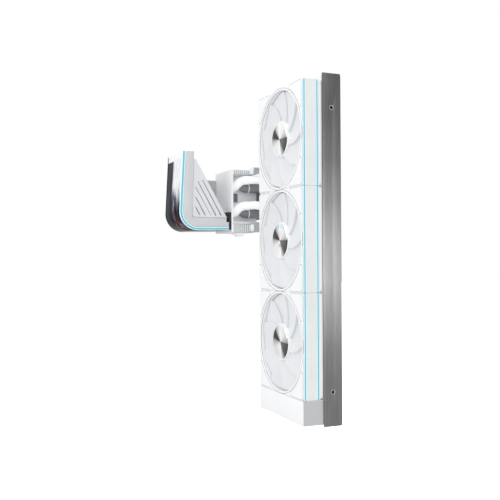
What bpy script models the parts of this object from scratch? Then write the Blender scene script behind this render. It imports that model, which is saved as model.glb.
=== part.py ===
"""Liquid cooler with a three-fan radiator and a pump head under a bent display.

The radiator stands on end.  The origin is the centre of its rear bolting
plane, +Z runs up the radiator, the fans face -Y, the brushed side plate is on
+X and the pump head stands off on -X, held by two hoses.
"""
import math

import bmesh
import bpy
from mathutils import Matrix, Vector

MM = 0.001

# Driving dimensions, in millimetres.
PITCH = 120.0            # one fan to the next, and the radiator's width
FAN_DEPTH = 25.0
RAD_DEPTH = 24.0
RAD_HALF = 199.0         # half the radiator's length
FAN_TOP = 191.2
CLEAR = 0.3              # gap between separate pieces
WALL = 1.6
PLATE_T = 1.5
BORE_R = 57.5
TIP_R = 56.3
HUB_R = 22.0
BLADES = 9
HOSE_R = 5.4
HOSE_Z = {"a": 94.4, "b": 60.4}   # height of each hose at the pump head
HOSE_END = (-108.5, -45.0)       # where both hoses meet the pump's elbows
HOSE_WAY = {"a": (0.63, 0.777), "b": (0.724, 0.69)}   # and their direction

FAN_BACK = -RAD_DEPTH - CLEAR
FAN_FRONT = FAN_BACK - FAN_DEPTH
FAN_Z = [FAN_TOP - PITCH * (i + 0.5) for i in range(3)]
FAN_END = FAN_TOP - 3 * PITCH
HALF_W = PITCH / 2

# Pump head: centre of the cold plate, and the block around it.
HEAD_X, HEAD_Z = -137.5, 68.4
SCREW = 37.5             # half the 75 mm square of mounting screws
BLOCK_X = (-169.6, -107.3)
BLOCK_Z = (25.0, 107.6)
COVER_Y = (-68.0, -65.8)
BODY_Y = (-65.5, -40.6)
PLATE_Y = (-23.7, -16.0)
RECESS_X = -127.3
SWIVEL_X = -120.0
ELBOW_R = 5.8
ELBOW_DROP = 9.6         # swivels stand this far below the hoses
PUMP_X = -146.8          # axis of the pump's rotor

# Display: the outer face leans back a little and bends under the head.
DISPLAY_X = (-174.0, -107.0)
FACE_TOP = (-135.0, 128.5)
FACE_CORNER = (-140.3, 26.8)
FACE_END = (-72.0, 27.8)
BEND_R = 24.0
SKIN = 4.3               # depth of glass and panel in front of the tray

WHITE = (0.86, 0.87, 0.88)
SHADE = (0.62, 0.63, 0.66)
DARK = (0.05, 0.05, 0.055)

collection = None
materials = {}


def clear_scene():
    """Start from an empty scene with one collection for the parts."""
    global collection
    for obj in list(bpy.data.objects):
        bpy.data.objects.remove(obj, do_unlink=True)
    collection = bpy.data.collections.new("liquid_cooler")
    bpy.context.scene.collection.children.link(collection)
    cutters = bpy.data.collections.new("cutters")
    bpy.context.scene.collection.children.link(cutters)
    return cutters


def finish(name, colour, roughness, metallic):
    """A Principled BSDF of one colour."""
    mat = bpy.data.materials.new(name)
    mat.use_nodes = True
    shader = mat.node_tree.nodes["Principled BSDF"]
    shader.inputs["Base Color"].default_value = (*colour, 1.0)
    shader.inputs["Roughness"].default_value = roughness
    shader.inputs["Metallic"].default_value = metallic
    materials[name] = mat
    return mat


def add(name, bm, mat, smooth=False):
    """Turn a bmesh in millimetres into a named object in metres."""
    bmesh.ops.scale(bm, vec=(MM, MM, MM), verts=bm.verts)
    bmesh.ops.recalc_face_normals(bm, faces=bm.faces)
    mesh = bpy.data.meshes.new(name)
    bm.to_mesh(mesh)
    bm.free()
    for face in mesh.polygons:
        face.use_smooth = smooth
    obj = bpy.data.objects.new(name, mesh)
    collection.objects.link(obj)
    if mat is not None:
        mesh.materials.append(materials[mat])
    return obj


def at(obj, x, y, z):
    """Place an object by its location, given in millimetres."""
    obj.location = (x * MM, y * MM, z * MM)
    return obj


def bevel(obj, width, segments=2, angle=40.0):
    """Round an object's sharp edges."""
    mod = obj.modifiers.new("Bevel", "BEVEL")
    mod.width = width * MM
    mod.segments = segments
    mod.limit_method = "ANGLE"
    mod.angle_limit = math.radians(angle)
    return obj


def box(name, xs, ys, zs, mat, round_r=0.0, segments=2):
    """A box between three pairs of limits, with its origin at its centre."""
    bm = bmesh.new()
    bmesh.ops.create_cube(bm, size=1.0)
    size = (xs[1] - xs[0], ys[1] - ys[0], zs[1] - zs[0])
    bmesh.ops.scale(bm, vec=size, verts=bm.verts)
    obj = add(name, bm, mat)
    at(obj, sum(xs) / 2, sum(ys) / 2, sum(zs) / 2)
    if round_r:
        bevel(obj, round_r, segments)
    return obj


def prism(name, outline, axis, span, mat, holes=(), smooth=False):
    """Extrude a flat outline along an axis.

    The outline is in (y, z) for axis X, (x, z) for Y and (x, y) for Z.
    """
    curve = bpy.data.curves.new(name, "CURVE")
    curve.dimensions = "2D"
    curve.fill_mode = "BOTH"
    curve.extrude = (span[1] - span[0]) / 2 * MM
    for loop in (outline, *holes):
        spline = curve.splines.new("POLY")
        spline.points.add(len(loop) - 1)
        for point, (a, b) in zip(spline.points, loop):
            point.co = (a * MM, b * MM, 0.0, 1.0)
        spline.use_cyclic_u = True
    obj = bpy.data.objects.new(name, curve)
    collection.objects.link(obj)
    depsgraph = bpy.context.evaluated_depsgraph_get()
    mesh = bpy.data.meshes.new_from_object(obj.evaluated_get(depsgraph))
    bpy.data.objects.remove(obj, do_unlink=True)
    bm = bmesh.new()
    bm.from_mesh(mesh)
    bpy.data.meshes.remove(mesh)
    bmesh.ops.remove_doubles(bm, verts=bm.verts, dist=1e-6)
    turn = {
        "X": Matrix(((0, 0, 1), (1, 0, 0), (0, 1, 0))),
        "Y": Matrix(((1, 0, 0), (0, 0, -1), (0, 1, 0))),
        "Z": Matrix.Identity(3),
    }[axis]
    bmesh.ops.transform(bm, matrix=turn.to_4x4(), verts=bm.verts)
    bmesh.ops.scale(bm, vec=(1 / MM, 1 / MM, 1 / MM), verts=bm.verts)
    obj = add(name, bm, mat, smooth)
    middle = (span[0] + span[1]) / 2
    return at(obj, *{"X": (middle, 0, 0), "Y": (0, middle, 0),
                     "Z": (0, 0, middle)}[axis])


def turned(name, profile, axis, mat, steps=24):
    """Revolve (radius, height) points about an axis through the origin."""
    bm = bmesh.new()
    verts = [bm.verts.new((r, 0.0, h)) for r, h in profile]
    edges = [bm.edges.new(pair) for pair in zip(verts, verts[1:])]
    bmesh.ops.spin(bm, geom=verts + edges, cent=(0, 0, 0), axis=(0, 0, 1),
                   angle=2 * math.pi, steps=steps, use_merge=True)
    bmesh.ops.remove_doubles(bm, verts=bm.verts, dist=1e-4)
    turn = {"X": Matrix.Rotation(math.pi / 2, 3, "Y"),
            "Y": Matrix.Rotation(-math.pi / 2, 3, "X"),
            "Z": Matrix.Identity(3)}[axis]
    bmesh.ops.transform(bm, matrix=turn.to_4x4(), verts=bm.verts)
    return add(name, bm, mat, smooth=True)


def tube(name, points, radius, mat, sides=2):
    """A round bar along a list of points."""
    curve = bpy.data.curves.new(name, "CURVE")
    curve.dimensions = "3D"
    curve.bevel_depth = radius * MM
    curve.bevel_resolution = sides
    curve.use_fill_caps = True
    spline = curve.splines.new("POLY")
    spline.points.add(len(points) - 1)
    for point, (x, y, z) in zip(spline.points, points):
        point.co = (x * MM, y * MM, z * MM, 1.0)
    spline.use_smooth = True
    obj = bpy.data.objects.new(name, curve)
    collection.objects.link(obj)
    curve.materials.append(materials[mat])
    return obj


def smooth_route(knots, count):
    """Read evenly spaced points from a smooth curve through the knots."""
    pts = [Vector(k) for k in knots]
    pts = [2 * pts[0] - pts[1]] + pts + [2 * pts[-1] - pts[-2]]
    dense = []
    for p0, p1, p2, p3 in zip(pts, pts[1:], pts[2:], pts[3:]):
        for step in range(24):
            t = step / 24
            dense.append(0.5 * (2 * p1 + (p2 - p0) * t
                                + (2 * p0 - 5 * p1 + 4 * p2 - p3) * t ** 2
                                + (3 * p1 - p0 - 3 * p2 + p3) * t ** 3))
    dense.append(pts[-2])
    length = [0.0]
    for a, b in zip(dense, dense[1:]):
        length.append(length[-1] + (b - a).length)
    out = []
    for i in range(count):
        want = length[-1] * i / (count - 1)
        j = max(k for k in range(len(dense) - 1) if length[k] <= want + 1e-9)
        part = (want - length[j]) / max(length[j + 1] - length[j], 1e-9)
        out.append(tuple(dense[j].lerp(dense[j + 1], part)))
    return out


def combine(target, tool, operation, cutters):
    """Union or cut one object with another, which becomes a hidden tool."""
    for holder in list(tool.users_collection):
        holder.objects.unlink(tool)
    cutters.objects.link(tool)
    tool.hide_render = True
    tool.display_type = "WIRE"
    mod = target.modifiers.new(tool.name, "BOOLEAN")
    mod.operation = operation
    mod.solver = "EXACT"
    mod.object = tool
    return target


def rounded_square(half, radius, segments=3):
    """Corner-rounded square outline about the origin."""
    out = []
    for corner in range(4):
        a0 = corner * math.pi / 2
        cx = (half - radius) * (1 if corner in (0, 3) else -1)
        cy = (half - radius) * (1 if corner in (0, 1) else -1)
        for i in range(segments + 1):
            a = a0 + math.pi / 2 * i / segments
            out.append((cx + radius * math.cos(a), cy + radius * math.sin(a)))
    return out


def circle(cx, cy, radius, count):
    """Points of a circle."""
    return [(cx + radius * math.cos(2 * math.pi * i / count),
             cy + radius * math.sin(2 * math.pi * i / count))
            for i in range(count)]


# ---------------------------------------------------------------- radiator

def radiator(cutters):
    """Core, tanks, rails, side plate and the hose stubs."""
    core_x, front, back = 55.0, -RAD_DEPTH + 1.2, -1.2
    tubes, half = 12, 1.0
    row = []
    for i in range(tubes):
        x = -core_x + 4.0 + i * (2 * core_x - 8.0) / (tubes - 1)
        row += [(x - half, 0.9), (x - half, 0.0), (x + half, 0.0),
                (x + half, 0.9)]
    outline = [(-core_x, front + 0.9)]
    outline += [(x, front + d) for x, d in row]
    outline += [(core_x, front + 0.9), (core_x, back - 0.9)]
    outline += [(x, back - d) for x, d in reversed(row)]
    outline += [(-core_x, back - 0.9)]
    prism("radiator_core", outline, "Z", (-150.0, 186.0), "core_metal")

    tank_y = (-RAD_DEPTH + 0.5, -0.5)
    box("top_tank", (-58.9, 58.9), tank_y, (186.3, RAD_HALF - 1), "white_metal",
        1.5)
    box("bottom_tank", (-58.9, 58.9), tank_y, (-RAD_HALF + 1, -150.3),
        "white_metal", 1.5)

    channel = [(0.0, -RAD_DEPTH), (4.3, -RAD_DEPTH), (4.3, 0.0), (0.0, 0.0),
               (0.0, -1.0), (3.1, -1.0), (3.1, -RAD_DEPTH + 1.0),
               (0.0, -RAD_DEPTH + 1.0)]
    for side, name in ((1, "near_rail"), (-1, "far_rail")):
        prism(name, [(side * (55.4 + x), y) for x, y in channel], "Z",
              (-150.0, 186.0), "white_metal")

    plate = box("near_side_plate", (HALF_W + CLEAR, HALF_W + CLEAR + PLATE_T),
                (-RAD_DEPTH, -1.2), (-RAD_HALF, RAD_HALF), "brushed_plate",
                0.5, 1)
    for z, name in ((160.2, "upper"), (-160.7, "lower")):
        y = -12.6
        hole = turned("hole_" + name, [(0, -4), (2.6, -4), (2.6, 4), (0, 4)],
                      "X", None, 16)
        at(hole, HALF_W + CLEAR + PLATE_T / 2, y, z)
        combine(plate, hole, "DIFFERENCE", cutters)
        face = HALF_W + CLEAR + PLATE_T
        screw = turned("plate_screw_" + name,
                       [(0, -1.8), (2.2, -1.8), (2.2, -0.5), (1.9, -0.2),
                        (0, -0.2)], "X", "dark_metal", 16)
        at(screw, face, y, z)

    for z, name in ((-187.0, "a"), (-163.0, "b")):
        stub = turned("tank_fitting_" + name,
                      [(0, 0.0), (7.5, 0.0), (7.5, 4.0), (6.0, 5.0),
                       (6.0, 11.6), (0, 11.6)], "X", "white_gloss", 20)
        stub.rotation_euler = (0.0, math.pi, 0.0)
        at(stub, -59.2, -12.0, z)


def hoses():
    """Two hoses from the tank's stubs up the far side to the pump head."""
    routes = {
        "a": [(-71.5, -12.0, -187.0), (-88.5, -11.0, -187.0),
              (-104.5, -10.0, -181.0), (-118.5, -8.5, -171.0),
              (-128.0, -8.0, -157.0), (-132.5, -7.0, -140.5),
              (-132.0, -6.0, -123.0), (-129.0, -4.5, -106.0),
              (-123.5, -4.5, -89.5), (-117.5, -4.5, -73.0),
              (-112.5, -4.0, -56.5), (-107.0, -3.0, -40.0),
              (-102.0, -2.0, -23.0), (-96.5, -1.5, -6.5),
              (-91.5, -0.5, 10.5), (-87.0, 1.0, 27.5),
              (-83.0, 2.0, 45.0), (-81.5, -0.5, 62.5),
              (-83.5, -8.0, 77.5), (-89.5, -19.0, 88.0),
              (-98.0, -31.5, 94.2), (*HOSE_END, HOSE_Z["a"])],
        "b": [(-71.5, -12.0, -163.0), (-86.0, -12.0, -163.0),
              (-98.5, -12.0, -158.5), (-109.0, -12.0, -150.5),
              (-116.5, -12.5, -139.0), (-120.5, -12.5, -125.0),
              (-120.0, -13.0, -110.5), (-115.0, -13.0, -96.5),
              (-109.5, -12.0, -83.5), (-104.0, -12.0, -70.0),
              (-98.5, -11.5, -56.5), (-93.5, -11.5, -43.0),
              (-88.0, -11.0, -29.0), (-83.0, -11.0, -16.0),
              (-77.0, -10.5, -2.5), (-72.5, -9.0, 11.0),
              (-72.0, -10.0, 25.0), (-75.0, -13.0, 37.8),
              (-80.5, -18.5, 48.8), (-88.5, -26.0, 56.4),
              (-98.0, -35.0, 60.6), (*HOSE_END, HOSE_Z["b"])],
    }
    for name, route in routes.items():
        tube("hose_" + name, smooth_route(route, 28), HOSE_R, "hose_white")


# -------------------------------------------------------------------- fans

def blade(bm, turn):
    """One swept blade: a loft from the hub's section to the wider tip."""
    rings = []
    stations = 4
    for i in range(stations):
        t = i / (stations - 1)
        r = HUB_R - 1.0 + (TIP_R - HUB_R + 1.0) * t
        sweep = math.radians(26.0) * t
        reach = math.radians(52.0 - 4.0 * t)
        pitch = 3.0
        ring = []
        for j, back in ((0, 0), (1, 0), (2, 0), (2, 1), (1, 1), (0, 1)):
            u = j / 2
            a = turn + sweep + reach * (u - 0.5)
            y = -pitch * (0.5 - u) + 1.6 * math.sin(math.pi * u)
            y += 1.2 if back else 0.0
            ring.append(bm.verts.new((r * math.cos(a), y, r * math.sin(a))))
        rings.append(ring)
    for inner, outer in zip(rings, rings[1:]):
        for k in range(6):
            bm.faces.new((inner[k], inner[(k + 1) % 6],
                          outer[(k + 1) % 6], outer[k]))
    bm.faces.new(rings[0])
    bm.faces.new(list(reversed(rings[-1])))


def fan(index, z, cutters):
    """Frame, motor, rotor, mirror cap and the two light bars of one fan."""
    tag = ("upper", "middle", "lower")[index]
    half = HALF_W - 0.1
    frame = prism("fan_frame_" + tag, rounded_square(half, 4.5), "Y",
                  (FAN_FRONT, FAN_BACK), "white_plastic",
                  [circle(0, 0, BORE_R, 48)])
    frame.location.z = z * MM

    spider = prism("spider_" + tag, circle(0, 0, HUB_R - 1.0, 24), "Y",
                   (FAN_BACK - 3.2, FAN_BACK - 0.4), None)
    spider.location.z = z * MM
    combine(frame, spider, "UNION", cutters)
    for k in range(2):
        arm = box("arm_%s_%d" % (tag, k), (-BORE_R - 1.5, BORE_R + 1.5),
                  (FAN_BACK - 3.0, FAN_BACK - 0.6), (-1.6, 1.6), None)
        arm.rotation_euler = (0.0, math.radians(38.0 + 90.0 * k), 0.0)
        arm.location.z = z * MM
        combine(frame, arm, "UNION", cutters)

    bar_y = (FAN_FRONT + 0.9, FAN_BACK - 3.6)
    for side, where in ((1, "near"), (-1, "far")):
        xs = sorted((side * (half - 2.0), side * (half + 1.0)))
        slot = box("slot_%s_%s" % (where, tag), xs, bar_y,
                   (z - PITCH, z + PITCH), None)
        combine(frame, slot, "DIFFERENCE", cutters)
        xs = sorted((side * (half - 2.0 + CLEAR), side * half))
        bar = box("light_bar_%s_%s" % (where, tag), xs,
                  (bar_y[0] + CLEAR, bar_y[1] - CLEAR),
                  (z - half, z + half), "light_bar")

    stator = turned("fan_motor_" + tag,
                    [(0, -42.0), (15.0, -42.0), (15.0, -29.5),
                     (18.0, -29.0), (18.0, FAN_BACK - 3.5),
                     (0, FAN_BACK - 3.5)], "Y", "copper", 24)
    at(stator, 0, 0, z)

    rotor = turned("fan_rotor_" + tag,
                   [(0, -47.6), (HUB_R, -47.6), (HUB_R, -31.0),
                    (HUB_R - 1.8, -31.0), (HUB_R - 1.8, -44.0),
                    (0, -44.0)], "Y", "frosted", 36)
    at(rotor, 0, 0, z)
    bm = bmesh.new()
    for k in range(BLADES):
        blade(bm, 2 * math.pi * k / BLADES)
    bmesh.ops.translate(bm, vec=(0, -45.4, 0), verts=bm.verts)
    blades = add("blades_" + tag, bm, None)
    blades.location.z = z * MM
    combine(rotor, blades, "UNION", cutters)

    cap = turned("fan_cap_" + tag,
                 [(0, FAN_FRONT + 0.05), (HUB_R - 2.6, FAN_FRONT + 0.05),
                  (HUB_R - 1.6, FAN_FRONT + 0.7),
                  (HUB_R - 1.6, -47.9), (0, -47.9)], "Y", "mirror", 36)
    at(cap, 0, 0, z)


def end_cover(cutters):
    """Box below the fans over the bottom tank, with the hub board inside."""
    zs = (-RAD_HALF + 2.2, FAN_END - CLEAR)
    half = HALF_W - 0.1
    cover = box("end_cover", (-half, half), (FAN_FRONT, FAN_BACK), zs,
                "white_plastic", 0.5, 1)
    hollow = box("cover_hollow", (-half + WALL, half - WALL),
                 (FAN_FRONT + WALL, FAN_BACK + 4), (zs[0] + WALL, zs[1] - WALL),
                 None)
    combine(cover, hollow, "DIFFERENCE", cutters)
    box("controller_board", (-44.0, 44.0), (-36.0, -34.4),
        (zs[0] + 4, zs[1] - 4), "board_green")


# --------------------------------------------------------------- pump head

def pump(cutters):
    """Cold plate, pump block, its cover, bracket, screws and elbows."""
    box("cold_plate", (HEAD_X - 25.0, HEAD_X + 25.0), PLATE_Y,
        (HEAD_Z - 25.0, HEAD_Z + 25.0), "copper", 0.8, 1)

    body = box("pump_body", (BLOCK_X[0], -111.3), BODY_Y, BLOCK_Z,
               "grey_plastic")
    recess = box("recess", (RECESS_X, -100.0), (-70.0, -20.0), (39.0, 101.0),
                 None)
    combine(body, recess, "DIFFERENCE", cutters)
    boss = box("boss", (-165.0, -127.6), (BODY_Y[1] - 1.0, -24.0),
               (39.0, 101.0), None)
    combine(body, boss, "UNION", cutters)
    ledge = box("ledge", (-113.0, BLOCK_X[1] - 0.3), BODY_Y, (36.3, 39.0),
                None)
    combine(body, ledge, "UNION", cutters)
    chamber = turned("chamber", [(0, -56.0), (15.5, -56.0), (15.5, -20.0),
                                 (0, -20.0)], "Y", None, 28)
    at(chamber, PUMP_X, 0, HEAD_Z)
    combine(body, chamber, "DIFFERENCE", cutters)
    pocket = turned("pocket", [(0, -70.0), (15.0, -70.0), (15.0, -57.6),
                               (0, -57.6)], "Y", None, 28)
    at(pocket, PUMP_X, 0, HEAD_Z)
    combine(body, pocket, "DIFFERENCE", cutters)

    box("pump_cover", BLOCK_X, COVER_Y, BLOCK_Z, "grey_plastic", 1.4, 2)
    stator = turned("pump_stator", [(0, -63.6), (14.0, -63.6), (14.0, -58.0),
                                    (0, -58.0)], "Y", "copper", 24)
    at(stator, PUMP_X, 0, HEAD_Z)

    rotor = turned("pump_impeller", [(0, -55.4), (12.5, -55.4),
                                     (12.5, -49.0), (4.0, -48.4),
                                     (3.0, -43.0), (0, -43.0)],
                   "Y", "dark_plastic", 24)
    at(rotor, PUMP_X, 0, HEAD_Z)
    for k in range(3):
        vane = box("vane_%d" % k, (-12.0, 12.0), (-50.0, -44.5),
                   (-0.7, 0.7), None)
        vane.rotation_euler = (0.0, math.radians(60.0 * k), 0.0)
        vane.location.x = PUMP_X * MM
        vane.location.z = HEAD_Z * MM
        combine(rotor, vane, "UNION", cutters)

    # Ribbed strips on the block's near side.
    ribs, first, last = 9, BODY_Y[0], BODY_Y[1]
    pitch = (last - first) / ribs
    comb = [(-111.0, first)]
    for i in range(ribs):
        y = first + pitch * i
        comb += [(BLOCK_X[1], y), (BLOCK_X[1], y + pitch * 0.55),
                 (-109.2, y + pitch * 0.62), (-109.2, y + pitch)]
    comb += [(-111.0, last)]
    prism("rib_strip_upper", comb, "Z", (101.2, BLOCK_Z[1]), "grey_plastic")
    prism("rib_strip_lower", comb, "Z", (BLOCK_Z[0], 36.0), "grey_plastic")

    # Bracket, open on the side where the hoses pass, with an ear at each
    # screw.
    near, far, low, high = -94.0, -181.0, 24.9, 109.9
    outline = [(near, 101.8), (near, high), (-106.5, high), (-108.0, 106.0),
               (-167.0, 106.0), (-168.5, high), (far, high), (far, 99.0),
               (-172.0, 92.0), (-172.0, 45.0), (far, 38.0), (far, low),
               (near, low), (near, 38.0), (-166.0, 38.0), (-166.0, 101.8)]
    corners = [(sx * SCREW, sz * SCREW) for sx in (-1, 1) for sz in (-1, 1)]
    holes = [circle(HEAD_X + x, HEAD_Z + z, 2.7, 12) for x, z in corners]
    prism("mounting_bracket", outline, "Y", (-40.2, -34.4), "bracket_grey",
          holes)
    for (x, z), name in zip(corners, ("far_lower", "far_upper",
                                      "near_lower", "near_upper")):
        screw = turned("mount_screw_" + name,
                       [(0, -44.0), (4.2, -44.0), (5.0, -43.2), (5.0, -40.6),
                        (2.2, -40.6), (2.2, -25.5), (1.7, -25.0),
                        (0, -25.0)], "Y", "white_metal", 18)
        at(screw, HEAD_X + x, 0, HEAD_Z + z)

    for tag, z in HOSE_Z.items():
        end, way = Vector(HOSE_END), Vector(HOSE_WAY[tag])
        nose = turned("swivel_" + tag,
                      [(0, -52.8), (2.4, -52.2), (4.2, -50.6), (5.4, -48.2),
                       (6.0, -45.4), (6.4, -41.6), (6.9, -41.2), (6.9, -39.4),
                       (6.4, -39.0), (6.4, -24.0), (0, -24.0)],
                      "Y", "swivel_grey", 20)
        at(nose, SWIVEL_X, 0, z - ELBOW_DROP)
        bend = smooth_route([(-127.0, -59.4, z - ELBOW_DROP),
                             (-122.5, -59.4, z - 9.4),
                             (-118.6, -58.9, z - 8.2),
                             (-115.6, -57.2, z - 5.8),
                             (-113.4, -54.0, z - 2.4),
                             (*(end - way * 5.6), z - 0.2),
                             (*(end - way * 0.6), z)], 12)
        tube("elbow_" + tag, bend, ELBOW_R, "hose_white", 2)

    box("cable_socket", (-121.0, -109.5), (-59.0, -50.5), (19.6, 24.7),
        "grey_plastic", 0.4, 1)


# ----------------------------------------------------------------- display

def face_path(offset, arc_steps=8):
    """The display's outer face in (y, z), moved inwards by an offset."""
    top, corner, end = (Vector(p) for p in (FACE_TOP, FACE_CORNER, FACE_END))
    down = (corner - top).normalized()
    along = (end - corner).normalized()
    turn = down.angle(along)
    reach = BEND_R * math.tan(turn / 2)
    start = corner - down * reach
    into = Vector((-down.y, down.x))
    centre = start + into * BEND_R
    radius = BEND_R - offset
    points = [top + into * offset]
    for i in range(arc_steps + 1):
        a = turn * i / arc_steps
        arm = Vector((-into.x * math.cos(a) + down.x * math.sin(a),
                      -into.y * math.cos(a) + down.y * math.sin(a)))
        points.append(centre + arm * radius)
    normal = Vector((-along.y, along.x))
    points.append(end + normal * offset)
    return [tuple(p) for p in points]


def trim_top(points, drop):
    """Lower the first point of a path along its first run."""
    a, b = Vector(points[0]), Vector(points[1])
    return [tuple(a + (b - a).normalized() * drop), *points[1:]]


def band(outer, inner, drop=0.0):
    """Closed outline between two offsets of the face, cut short at the top."""
    return (trim_top(face_path(outer), drop)
            + list(reversed(trim_top(face_path(inner), drop))))


def display(cutters):
    """Bent display module: tray, panel, glass, light strips and gussets."""
    x0, x1 = DISPLAY_X
    inner_top, inner_end = (-119.6, 128.8), (-75.4, 43.6)
    outline = (face_path(SKIN) + [(-72.0, 38.2), (-75.4, 38.2), inner_end]
               + [(-120.0, 43.4), (-122.2, 45.8)] + [inner_top])
    tray = prism("display_tray", outline, "X", (x0, x1), "tray_grey")
    hollow = box("tray_hollow", (x0 + 6, x1 - 6), (-118.0, -60.0),
                 (34.0, 36.9), None)
    combine(tray, hollow, "DIFFERENCE", cutters)
    box("display_board", (x0 + 8, x1 - 8), (-112.0, -76.0), (34.6, 36.2),
        "board_green")

    strip = 3.0
    prism("display_strip_near", band(0.0, SKIN - CLEAR), "X",
          (x1 - strip, x1), "cyan_light")
    prism("display_strip_far", band(0.0, SKIN - CLEAR), "X",
          (x0, x0 + strip), "cyan_light")
    inside = (x0 + strip + CLEAR, x1 - strip - CLEAR)
    prism("display_glass", band(0.0, 1.8, 9.3), "X", inside, "black_glass")
    prism("display_panel", band(2.1, SKIN - CLEAR, 9.3), "X", inside,
          "dark_plastic")
    top = [Vector(p) for p in (face_path(0.0)[0], face_path(SKIN - CLEAR)[0])]
    down = (Vector(FACE_CORNER) - Vector(FACE_TOP)).normalized() * 9.0
    prism("display_bezel",
          [tuple(top[0]), tuple(top[0] + down), tuple(top[1] + down),
           tuple(top[1])], "X", inside, "white_plastic")

    # Louvred gusset at each side of the module.
    foot, peak = Vector((-74.6, 44.0)), Vector((-117.0, 118.6))
    heel, head = (-121.9, 46.6), (-119.6, 118.6)
    slope = (peak - foot).normalized()
    slots, count, width = [], 5, 1.9
    for i in range(count):
        low = Vector((-81.6 - 7.35 * i, 46.6))
        room = [(-117.4 - low.x) / slope.x]
        if i < 2:
            room.append(53.4 - 1.8 * i)
        high = low + slope * (min(room) - 1.0)
        side = Vector((-width, 0.0))
        slots.append([tuple(low), tuple(high), tuple(high + side * 0.7),
                      tuple(low + side)])
    plate = [tuple(foot), tuple(peak), head, heel, (-119.8, 44.0)]
    for side, name in ((x1 - 1.0, "near"), (x0 + 4.0, "far")):
        prism("gusset_" + name, plate, "X", (side - 3.0, side), "tray_grey",
              slots)

    # Connector between the module and the pump block, with its raised arm.
    outline = [(-71.6, 28.2), (-68.4, 28.2), (-68.4, 98.8), (-94.0, 98.8),
               (-94.0, 95.0), (-72.0, 56.0), (-73.2, 52.0), (-73.2, 47.3),
               (-71.6, 47.3)]
    prism("display_arm", outline, "X", (-174.0, -166.9), "arm_grey")
    prism("display_connector",
          [(-71.6, 28.2), (-68.4, 28.2), (-68.4, 51.4), (-73.2, 51.4),
           (-73.2, 47.3), (-71.6, 47.3)], "X", (-166.5, -108.5),
          "dark_plastic")


def main():
    cutters = clear_scene()
    for row in (
            ("white_plastic", WHITE, 0.35, 0.0),
            ("white_gloss", WHITE, 0.2, 0.0),
            ("white_metal", WHITE, 0.4, 0.0),
            ("hose_white", (0.9, 0.9, 0.9), 0.45, 0.0),
            ("frosted", (0.72, 0.73, 0.75), 0.4, 0.0),
            ("light_bar", (0.55, 0.85, 0.92), 0.3, 0.0),
            ("mirror", (0.85, 0.85, 0.87), 0.05, 1.0),
            ("copper", (0.72, 0.43, 0.28), 0.3, 1.0),
            ("core_metal", (0.45, 0.46, 0.48), 0.45, 0.6),
            ("brushed_plate", (0.5, 0.5, 0.5), 0.35, 1.0),
            ("dark_metal", (0.12, 0.12, 0.12), 0.4, 0.8),
            ("dark_plastic", DARK, 0.35, 0.0),
            ("board_green", (0.05, 0.2, 0.1), 0.5, 0.0),
            ("grey_plastic", SHADE, 0.4, 0.0),
            ("bracket_grey", (0.7, 0.7, 0.72), 0.35, 0.4),
            ("swivel_grey", (0.3, 0.3, 0.32), 0.35, 0.0),
            ("tray_grey", SHADE, 0.4, 0.0),
            ("arm_grey", (0.4, 0.4, 0.42), 0.45, 0.0),
            ("cyan_light", (0.1, 0.75, 0.9), 0.3, 0.0),
            ("black_glass", (0.01, 0.01, 0.012), 0.05, 0.0)):
        finish(*row)
    radiator(cutters)
    hoses()
    for index, z in enumerate(FAN_Z):
        fan(index, z, cutters)
    end_cover(cutters)
    pump(cutters)
    display(cutters)


main()
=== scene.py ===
"""Looks of a closed-loop liquid cooler with three fans and a bent display.

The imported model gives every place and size.  Each class below dresses one
sub-assembly: it models the visible pieces in millimetres, gives them their
finishes and lets them ride on the right body.
"""

import logging
import math
from dataclasses import dataclass, field
from enum import Enum
from typing import Iterable, Sequence

import bmesh
import bpy
from mathutils import Matrix, Vector


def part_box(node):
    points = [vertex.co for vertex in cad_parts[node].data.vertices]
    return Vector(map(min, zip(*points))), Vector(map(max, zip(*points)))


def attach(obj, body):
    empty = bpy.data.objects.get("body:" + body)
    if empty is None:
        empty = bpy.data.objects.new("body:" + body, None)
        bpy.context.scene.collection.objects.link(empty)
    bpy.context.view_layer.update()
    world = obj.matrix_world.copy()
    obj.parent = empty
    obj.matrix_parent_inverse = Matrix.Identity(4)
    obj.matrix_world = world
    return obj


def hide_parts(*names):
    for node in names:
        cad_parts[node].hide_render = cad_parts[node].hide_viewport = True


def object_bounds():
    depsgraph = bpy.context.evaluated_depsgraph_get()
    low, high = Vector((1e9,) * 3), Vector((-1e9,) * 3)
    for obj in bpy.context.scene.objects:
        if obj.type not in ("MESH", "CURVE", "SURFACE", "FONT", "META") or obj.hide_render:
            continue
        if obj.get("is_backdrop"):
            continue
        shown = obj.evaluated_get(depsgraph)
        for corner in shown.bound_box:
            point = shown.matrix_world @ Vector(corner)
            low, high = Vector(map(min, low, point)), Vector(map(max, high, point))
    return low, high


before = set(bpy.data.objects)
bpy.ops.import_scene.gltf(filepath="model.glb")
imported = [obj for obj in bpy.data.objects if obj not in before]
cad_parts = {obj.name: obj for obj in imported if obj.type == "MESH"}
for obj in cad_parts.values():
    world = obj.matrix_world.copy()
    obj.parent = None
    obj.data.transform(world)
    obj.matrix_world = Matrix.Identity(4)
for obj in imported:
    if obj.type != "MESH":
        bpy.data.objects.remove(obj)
CAD_BOX = [[float(v) for v in corner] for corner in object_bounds()]

LOG = logging.getLogger("cooler")
MM = 0.001
FANS = ("upper", "middle", "lower")

Point = tuple[float, float]
Point3 = tuple[float, float, float]
Span = tuple[float, float]
RGB = tuple[float, float, float]


class Body(str, Enum):
    """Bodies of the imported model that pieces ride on."""

    COOLER = "cooler"

    @staticmethod
    def fan_rotor(tag: str) -> str:
        """Name of a fan's turning body."""
        return "rotor_" + tag


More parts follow.
